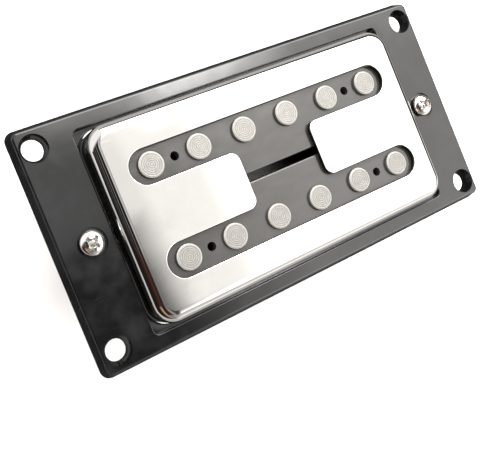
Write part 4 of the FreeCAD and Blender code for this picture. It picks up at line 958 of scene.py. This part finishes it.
def room_light(studio):
    """Rows for the light of each direction, from its slopes away from straight up.

    A slope is how far a direction leans to the right or to the back for each step up.
    """
    panel = studio.panel
    return [
        ("height", "MAXIMUM", "z", 0.04), ("slope_x", "DIVIDE", "x", "height"),
        ("slope_y", "DIVIDE", "y", "height"),
        # Soft panel on the right, with an earlier start at the back of its near edge.
        ("near", "SMOOTHSTEP", "slope_x", 0.26, 0.58, 0.0, panel),
        ("slant", "MULTIPLY_ADD", "slope_y", 0.1, "slope_x"),
        ("early_x", "SMOOTHSTEP", "slant", 0.26, 0.335, 0.0, panel * 0.47),
        ("early_y", "LINEAR", "slope_y", -0.175, -0.16), ("early", "MULTIPLY", "early_x", "early_y"),
        ("soft", "MAXIMUM", "near", "early"),
        # Pale wall behind the left end, and a brighter strip of the panel at the back.
        ("wall_x", "SMOOTHSTEP", "slope_x", 0.1, 0.18, 0.0, studio.wall),
        ("wall_y", "LINEAR", "slope_y", -0.04, 0.0), ("wall", "MULTIPLY", "wall_x", "wall_y"),
        ("both", "MAXIMUM", "soft", "wall"),
        ("strip_x", "SMOOTHSTEP", "slope_x", 0.12, 0.24, 0.0, panel * 1.45),
        ("strip_y", "SMOOTHSTEP", "slope_y", 0.115, 0.15), ("strip", "MULTIPLY", "strip_x", "strip_y"),
        ("bright", "MAXIMUM", "both", "strip"),
        # They end far out, and flare towards front and back.
        ("far", "SMOOTHSTEP", "slope_x", 1.3, 1.8, 1.0, 0.0), ("deep", "MULTIPLY", "slope_y", 0.35),
        ("ahead", "MULTIPLY", "slope_y", -1.0), ("reach", "MAXIMUM", "deep", "ahead"),
        ("wide", "SMOOTHSTEP", "reach", 0.85, 1.15, 1.0, 0.0), ("ends", "MULTIPLY", "far", "wide"),
        ("aside", "ABSOLUTE", "slope_y"), ("flare", "SMOOTHSTEP", "aside", 0.2, 0.45, 1.0, 1.9),
        ("spread", "MULTIPLY", "ends", "flare"), ("room", "LINEAR", "slope_x", 0.0, 0.15, 0.0, studio.base),
        ("lit", "MULTIPLY_ADD", "bright", "spread", "room"),
        # Tall lamp at the back of the panel.
        ("lamp_in", "SMOOTHSTEP", "slope_x", 0.352, 0.42, 0.0, studio.lamp),
        ("lamp_out", "SMOOTHSTEP", "slope_x", 0.44, 0.66, 1.0, 0.0),
        ("lamp_x", "MULTIPLY", "lamp_in", "lamp_out"), ("lamp_low", "SMOOTHSTEP", "slope_y", 0.11, 0.155),
        ("lamp_high", "SMOOTHSTEP", "slope_y", 0.4, 0.6, 1.0, 0.0),
        ("lamp_y", "MULTIPLY", "lamp_low", "lamp_high"),
        ("lamps", "MULTIPLY_ADD", "lamp_x", "lamp_y", "lit"),
        # Pale walls at the back of the left side and in front.
        ("gate", "LINEAR", "slope_x", 0.1, 0.16, 1.0, 0.0),
        ("pale_y", "SMOOTHSTEP", "slope_y", 0.3, 0.6, 0.0, studio.back),
        ("pale", "MULTIPLY", "pale_y", "gate"),
        ("front_y", "SMOOTHSTEP", "slope_y", -1.2, -0.8, studio.front, 0.0),
        ("front_x", "LINEAR", "slope_x", -1.0, 2.0), ("front", "MULTIPLY", "front_y", "front_x"),
        ("walls", "MAXIMUM", "pale", "front"), ("total", "MAXIMUM", "lamps", "walls"),
        # Where the dark left side's ramps start and end, and where one gives way to the next.
        ("spot", "LINEAR", "slope_x", -4.0, 0.16), ("low_y", "LINEAR", "slope_y", -0.34, -0.2),
        ("half_y", "LINEAR", "slope_y", -0.09, -0.02),
        # Below the horizon only mirrors look: dark close by, pale further off.
        ("fall", "LINEAR", "z", -0.66, -0.5, studio.under, studio.ground),
        ("rise", "LINEAR", "z", -0.02, 0.02),
        # Narrow pale line along the horizon, all round but on the right.
        ("line_low", "LINEAR", "z", -0.09, -0.05),
        ("line_high", "LINEAR", "z", 0.05, 0.1, studio.side, 0.0),
        ("line_x", "LINEAR", "x", 0.2, 0.5, 1.0, 0.0), ("line", "MULTIPLY", "line_low", "line_high"),
        ("band", "MULTIPLY", "line", "line_x"),
    ]


# Dark room on the left, from the horizon to a little past straight up: places and tones of two narrow
# windows at the back, and of a warm brown wall and its peach-coloured lower part at the front.
WINDOWS = (
    (0.0, 0.02), (0.52, 0.02), (0.545, 0.3), (0.57, 0.02), (0.705, 0.02), (0.721, 0.5), (0.737, 0.02),
    (0.829, 0.02), (0.843, 0.7), (0.857, 0.02), (0.935, 0.02), (0.962, 1.1), (0.985, 0.6))
BROWN_WALL = (
    (0.0, 0.02), (0.6, 0.02), (0.72, (0.05, 0.02, 0.015, 1.0)), (0.84, (0.12, 0.05, 0.035, 1.0)),
    (0.9, (0.05, 0.025, 0.02, 1.0)), (0.93, 0.02), (0.97, 0.3), (1.0, 0.45))
PEACH_WALL = (
    (0.0, 0.02), (0.66, (0.03, 0.015, 0.012, 1.0)), (0.74, (0.7, 0.36, 0.26, 1.0)),
    (0.8, (0.9, 0.62, 0.5, 1.0)), (0.84, (0.06, 0.03, 0.02, 1.0)), (0.93, 0.03), (0.97, 0.5), (1.0, 0.7))


def light_room(tree, studio):
    """Build the room that the pickup mirrors, and show plain white paper to the camera."""
    look = add(tree, "ShaderNodeTexCoord")
    parts = add(tree, "ShaderNodeSeparateXYZ", {"Vector": (look, "Generated")})
    light = chain(tree, {"x": (parts, "X"), "y": (parts, "Y"), "z": (parts, "Z")}, room_light(studio))
    for name, stops in (("windows", WINDOWS), ("brown", BROWN_WALL), ("peach", PEACH_WALL)):
        stops = [(place, tone if isinstance(tone, tuple) else grey(tone)) for place, tone in stops]
        light[name] = (add(tree, "ShaderNodeValToRGB", {"Fac": light["spot"]}, stops), "Color")
    # The room shows only in mirrors and as light; behind the pickup the paper goes on.
    ways = add(tree, "ShaderNodeLightPath")
    seen = chain(tree, light, [
        ("warm", "MIX", "low_y", "peach", "brown"),
        ("dark", "MIX", "half_y", "warm", "windows"),
        ("left", "COLOUR_MULTIPLY", "dark", "gate"),
        ("above", "COLOUR_MAXIMUM", "left", "total"),
        ("sky", "MIX", "rise", "fall", "above"),
        ("lined", "COLOUR_MAXIMUM", "sky", "band"),
        ("warmed", "COLOUR_MULTIPLY", "lined", studio.warmth[:3]),
        ("seen", "MIX", (ways, "Is Camera Ray"), "warmed", grey(1.0))])["seen"]
    glow = add(tree, "ShaderNodeBackground", {"Color": seen})
    add(tree, "ShaderNodeOutputWorld", {"Surface": (glow, "Background")})


class PICKUP_OT_studio(bpy.types.Operator):
    """Lay the paper floor, light the room and set up the camera"""

    bl_idname = "pickup.studio"
    bl_label = "Studio"

    def execute(self, context):
        scene = context.scene
        studio = scene.pickup_studio
        scene.view_settings.view_transform = "Standard"
        half = studio.floor_size / 2
        bm = bmesh.new()
        corners = ((-half, -half), (half, -half), (half, half), (-half, half))
        bm.faces.new([bm.verts.new((*corner, CAD_BOX[0][2])) for corner in corners])
        floor = link_mesh(bm, "paper_floor", studio_paper(studio.paper))
        floor.visible_glossy = False

        world = bpy.data.worlds.new("soft_studio")
        scene.world = world
        world.use_nodes = True
        world.node_tree.nodes.clear()
        light_room(world.node_tree, studio)

        fill = bpy.data.lights.new("soft_fill", "SUN")
        fill.energy = studio.fill
        fill.angle = FILL_SPREAD
        fill_place = bpy.data.objects.new("soft_fill", fill)
        fill_place.rotation_euler = (0.0, FILL_TILT, 0.0)
        fill_place.visible_glossy = False
        scene.collection.objects.link(fill_place)

        lens = bpy.data.cameras.new("studio_camera")
        lens.lens = studio.lens
        lens.sensor_width = SENSOR_WIDTH
        lens.shift_x, lens.shift_y = LENS_SHIFT
        lens.clip_start, lens.clip_end = CLIP_START, CLIP_END
        camera = bpy.data.objects.new("studio_camera", lens)
        camera.location = CAMERA_PLACE
        camera.rotation_euler = [math.radians(angle) for angle in CAMERA_TURN]
        scene.collection.objects.link(camera)
        scene.camera = camera
        return {"FINISHED"}


OPERATORS = (
    PICKUP_OT_studio,
    PICKUP_OT_mounting_ring,
    PICKUP_OT_cover,
    PICKUP_OT_bobbins,
    PICKUP_OT_poles,
    PICKUP_OT_height_screws,
    PICKUP_OT_springs,
    PICKUP_OT_windings,
    PICKUP_OT_magnet_and_spacers,
    PICKUP_OT_baseplate,
    PICKUP_OT_solder_beads,
)
GROUPS = (PickupColours, PickupSizes, PickupStudio)


class PICKUP_PT_build(bpy.types.Panel):
    """Panel that lists the pickup's sizes, colours and building steps"""

    bl_label = "Guitar Pickup"
    bl_idname = "PICKUP_PT_build"
    bl_space_type = "VIEW_3D"
    bl_region_type = "UI"
    bl_category = "Pickup"

    def draw(self, context):
        layout = self.layout
        for group in (context.scene.pickup_sizes, context.scene.pickup_colours, context.scene.pickup_studio):
            box = layout.box()
            for name in group.__annotations__:
                box.prop(group, name)
        for operator in OPERATORS:
            layout.operator(operator.bl_idname)


def register():
    """Register the classes and hang the settings on the scene."""
    for item in (*GROUPS, *OPERATORS, PICKUP_PT_build):
        bpy.utils.register_class(item)
    bpy.types.Scene.pickup_colours = bpy.props.PointerProperty(type=PickupColours)
    bpy.types.Scene.pickup_sizes = bpy.props.PointerProperty(type=PickupSizes)
    bpy.types.Scene.pickup_studio = bpy.props.PointerProperty(type=PickupStudio)


def unregister():
    """Take the settings off the scene and unregister the classes."""
    del bpy.types.Scene.pickup_studio
    del bpy.types.Scene.pickup_sizes
    del bpy.types.Scene.pickup_colours
    for item in reversed((*GROUPS, *OPERATORS, PICKUP_PT_build)):
        bpy.utils.unregister_class(item)


def main():
    """Build the dressed pickup and its studio."""
    register()
    for operator in OPERATORS:
        group, name = operator.bl_idname.split(".")
        getattr(getattr(bpy.ops, group), name)()


if __name__ == "__main__":
    main()
